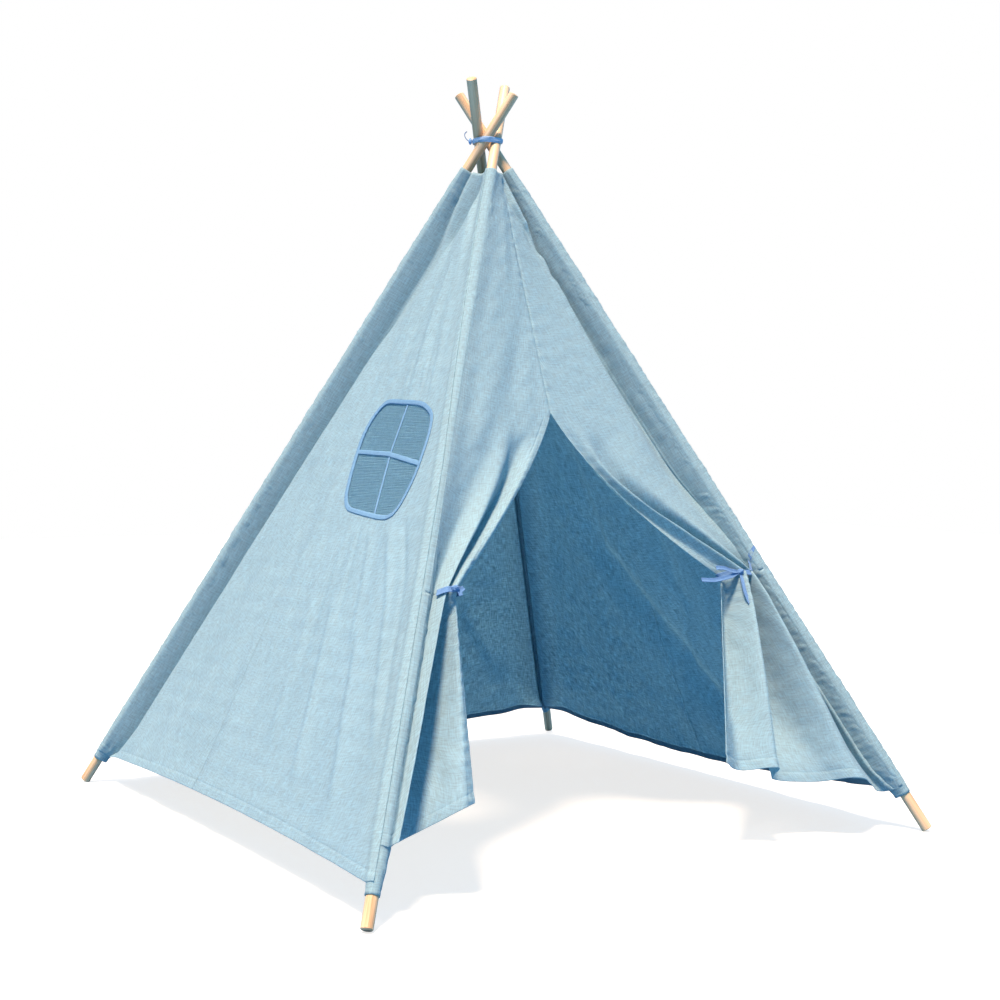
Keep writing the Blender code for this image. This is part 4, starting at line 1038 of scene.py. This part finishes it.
RIGHT_CREASES = (
    (((0.62, 0.075), (0.66, 0.14), (0.80, 0.20), (0.90, 0.27)), -0.011, 0.010, 0.007, 0.12),
    (((0.70, 0.13), (0.78, 0.17), (0.86, 0.20)), 0.004, 0.006, 0.006),
    (((0.74, 0.205), (0.82, 0.26), (0.90, 0.33)), -0.006, 0.012, 0.006, 0.2),
)
door_half("left", LEFT, 178, (100, 70, 76), LEFT_CREASES, 63, (0.20, 0.06))
door_half("right", RIGHT, 184, (100, 70, 86), RIGHT_CREASES, 73, (0.25, 0.095))

# Ribbons
# Soft flat ribbon: one length is wound round the crossing and knotted, and one at each side of the door is sewn to the
# sleeve, goes round the gathered cloth and is knotted in front, with loose ends.

RIBBON_WIDTH = 0.011
RIBBON_THICKNESS = 0.0010
SOFT_RIBBON = 0.0008
LASHING_HALF_WIDTH = 0.0040
FOLD_RANGE = math.radians(24)
RISE = np.array([0.0, 0.0, 1.0])


def bundle_edge(turn, height):
    """The outermost point of the crossed poles in each direction, at a height above the crossing, open or folded."""
    turn, height = np.broadcast_arrays(turn, height)
    way = np.stack([np.cos(turn), np.sin(turn), np.zeros(turn.shape)], axis=-1)
    best, reach = np.zeros(way.shape), np.full(turn.shape, -np.inf)
    for pole in FRAMES.values():
        for lean in (LEAN, LEAN - FOLD_RANGE):
            centre = CROSSING_OFFSET * pole.hinge - pole.out * (height * math.tan(lean))[..., None]
            long, short = POLE_RADIUS / math.cos(lean), POLE_RADIUS
            outward, sideways = way @ pole.out, way @ pole.hinge
            oval = (long**2 * outward)[..., None] * pole.out + (short**2 * sideways)[..., None] * pole.hinge
            spot = centre + oval / np.hypot(long * outward, short * sideways)[..., None]
            far = (spot * way).sum(-1)
            best = np.where((far > reach)[..., None], spot, best)
            reach = np.maximum(far, reach)
    return best + RISE * (CROSSING_HEIGHT + height)[..., None], way


def lashing_band():
    """Two turns of ribbon round the bundle: each is the bundle's outermost line, tilted a little one way and the
    other, so that they cross, with fine creases along them."""
    turns = np.linspace(0.0, 2 * math.pi, 181)[None, :-1]
    heights = np.linspace(-LASHING_HALF_WIDTH, LASHING_HALF_WIDTH, 9)[:, None]
    across = np.repeat(heights + 0.006, 181, axis=1)
    along = np.append(np.linspace(0.0, 0.19, 180), 0.191)[None, :] + 0 * heights
    for number, (phase, lift, node) in enumerate(((0.4, 0.0012, ("top_lashing",)), (3.5, 0.0024, ()))):
        edge, way = bundle_edge(turns, heights * 0.92)
        edge = (np.roll(edge, 1, axis=1) + edge * 2 + np.roll(edge, -1, axis=1)) / 4
        fullness = 0.0006 * (1 - (heights / LASHING_HALF_WIDTH) ** 2)
        fullness = fullness + 0.00025 * np.cos(heights * 2400 + np.sin(turns * 3) * 2)
        tilt = 0.0016 * np.sin(turns + phase) + 0 * heights
        points = edge + way * (lift + fullness)[..., None] + RISE * tilt[..., None]
        name = f"lashing_turn_{number + 1}"
        mesh = surface_mesh(name, points[::-1], {"cloth": (along, across)}, closed=True)
        piece = new_piece(name, mesh, ribbon_sky, "blue_ribbon", *node, thickness=SOFT_RIBBON)
        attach(piece, "cover")


def knot(name, centre, radii, axes, body, material, *node):
    """A pulled-tight knot: an oval whose radius has a ridge where the ribbon crosses over itself twice."""
    around = np.linspace(0.0, 2 * math.pi, 73)[None, :-1]
    polar = np.linspace(0.0, math.pi, 49)[:, None]
    x, y, z = np.sin(polar) * np.cos(around), np.sin(polar) * np.sin(around), np.cos(polar) + 0 * around
    first = bell(x * 0.8 + y * 0.6, 0.42)
    second = bell(x * 0.5 - y * 0.85, 0.40) * (z > -0.2)
    size = 0.80 + 0.17 * first + 0.22 * second + 0.05 * np.cos(16 * (x * 0.6 - y * 0.8)) * first
    stretched = [(size * part * radius)[..., None] * axis for axis, radius, part in zip(axes, radii, (x, y, z))]
    flat = (np.append(around, 2 * math.pi)[None, :] * 0.006 + 0 * polar, np.repeat(polar * 0.008, 73, axis=1))
    mesh = surface_mesh(name, centre + sum(stretched), {"cloth": flat}, closed=True)
    whole = bmesh.new()
    whole.from_mesh(mesh)
    bmesh.ops.remove_doubles(whole, verts=whole.verts, dist=0.00001)
    bmesh.ops.recalc_face_normals(whole, faces=whole.faces)
    whole.to_mesh(mesh)
    whole.free()
    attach(new_piece(name, mesh, material, "blue_ribbon", *node), body)


def tail_points(path, aside, width, curl, count=60):
    """A loose ribbon end: a smooth path, with width along one direction per point, its middle raised by curl."""
    line, ways = smooth_curve(path, count), unit(smooth_curve(aside, count))
    off = np.cross(unit(np.gradient(line, axis=0)), ways)
    offsets = np.linspace(-1.0, 1.0, 9)[:, None, None]
    taper = (0.55 + 0.45 * smooth_step(np.linspace(0, 1, count) / 0.25))[None, :, None]
    return line[None] + ways[None] * offsets * (width / 2) * taper + off[None] * curl * (1 - offsets**2)


def lashing_end():
    """The knot beside the bundle and the thin end curling up from it, darker than the ribbon's turns: painted shade."""
    edge, way = bundle_edge(np.array(math.radians(147)), np.array(0.0))
    side = np.cross(RISE, way)
    centre = edge + way * 0.0070
    knot("lashing_knot", centre, (0.0042, 0.0062, 0.0058), (way, side, RISE), "cover", ribbon_knot_shade, "top_lashing_knot")
    path = ((0.001, 0.0), (0.007, 0.004), (0.011, 0.010), (0.011, 0.016), (0.007, 0.020))
    path = [centre + way * a + RISE * b for a, b in path]
    points = tail_points(path, [side] * 5, 0.0055, 0.0006)
    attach(ribbon_strip("lashing_tail", points, ribbon_deep_and_tail_shade, SOFT_RIBBON), "cover")


class Bunch:
    """The gathered cloth at a tie, as an oval that the ribbon goes round, from near to far off the pole."""

    def __init__(self, flap, near):
        self.side, self.pole = flap.side, DOOR.pole(flap.side)
        self.middle, self.half = (near + flap.tie_reach) / 2, (flap.tie_reach - near) / 2 + 0.009
        self.across = unit(self.at(1.0, 0.0) - self.at(0.0, 0.0))
        self.down = flap.side * np.cross(self.across, DOOR.out)

    def at(self, reach, lift):
        return DOOR.from_corner(self.side, reach, TIE_DROP, lift)

    def round(self, degrees, lift=0.0):
        turn = math.radians(degrees)
        return self.at(self.middle + (self.half + lift) * math.cos(turn), (0.019 + lift) * math.sin(turn))

    def on_sleeve(self, degrees, rise=0.0):
        lift = CLOTH + CLEARANCE + RIBBON_THICKNESS / 2
        return on_sleeve(self.pole, self.side * degrees, np.array(TIE_DROP), lift) + self.pole.up * rise


def door_tie(name, bunch, path, tails, node):
    """The strap, the knot a little round from its front, and the loose ends, which start in the knot."""
    points = tail_points(path, [bunch.pole.up] * len(path), RIBBON_WIDTH, 0.0005, 150)
    strap = ribbon_strip(f"{name}_strap", points, ribbon_deep_and_tail_shade, SOFT_RIBBON, node)
    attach(strap, bunch.pole.body)
    centre = bunch.round(78, 0.002)
    axes = np.array([bunch.across, bunch.down, DOOR.out])
    knot(f"{name}_knot", centre, (0.0080, 0.0066, 0.0062), axes, bunch.pole.body, ribbon_deep_and_tail_shade)
    for number, tail in enumerate(tails):
        spots = centre + np.array([(0.0, 0.0, 0.0), *tail]) @ axes
        aside = np.cross(unit(np.gradient(spots, axis=0)), DOOR.out)
        points = tail_points(spots, aside, RIBBON_WIDTH * 0.72, 0.0009, 70)
        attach(ribbon_strip(f"{name}_end_{number + 1}", points, ribbon_deep_and_tail_shade, SOFT_RIBBON), bunch.pole.body)


# The door ties' own deep blue, also given to the crossing's loose end as painted shade.
ribbon_deep_and_tail_shade = ribbon_cloth("blue_ribbon_cloth", (0.100, 0.210, 0.420), (0.150, 0.280, 0.500))
# A darker blue than the crossing's turns for its knot: painted shade.
ribbon_knot_shade = ribbon_cloth("blue_ribbon_knot_shade", (0.150, 0.300, 0.560), (0.200, 0.370, 0.640))
ribbon_sky = ribbon_cloth("blue_ribbon_sky", (0.40, 0.53, 0.70), (0.48, 0.60, 0.78))
lashing_band()
lashing_end()

bunch = Bunch(LEFT, 0.010)
path = [bunch.on_sleeve(degrees) for degrees in (0, 20, 38)]
path += [bunch.round(degrees) for degrees in (-98, -70, -40, -10, 20, 50, 78, 105)]
path += [bunch.at(0.0165, 0.0105), bunch.at(0.0115, 0.0025)]
tails = (
    ((0.005, 0.006, 0.002), (0.006, 0.014, 0.003)),
    ((0.009, 0.004, 0.001), (0.017, 0.000, 0.001)),
)
door_tie("tie_left", bunch, path, tails, "door_tie_left")

bunch = Bunch(RIGHT, 0.0)
path = [bunch.on_sleeve(*step) for step in ((165, 0.045), (138, 0.042), (111, 0.038), (86, 0.032), (66, 0.024))]
path += [bunch.round(degrees) for degrees in (112, 84, 56, 28, 0, -30, -60, -90, -120, -145)]
tails = (
    ((0.024, -0.002, 0.003), (0.044, -0.008, 0.004), (0.060, -0.010, 0.002)),
    ((0.030, 0.008, 0.000), (0.066, 0.012, -0.003), (0.100, 0.010, -0.003)),
    ((0.006, 0.022, 0.004), (0.010, 0.044, 0.006), (0.008, 0.066, 0.007)),
)
door_tie("tie_right", bunch, path, tails, "door_tie_right")
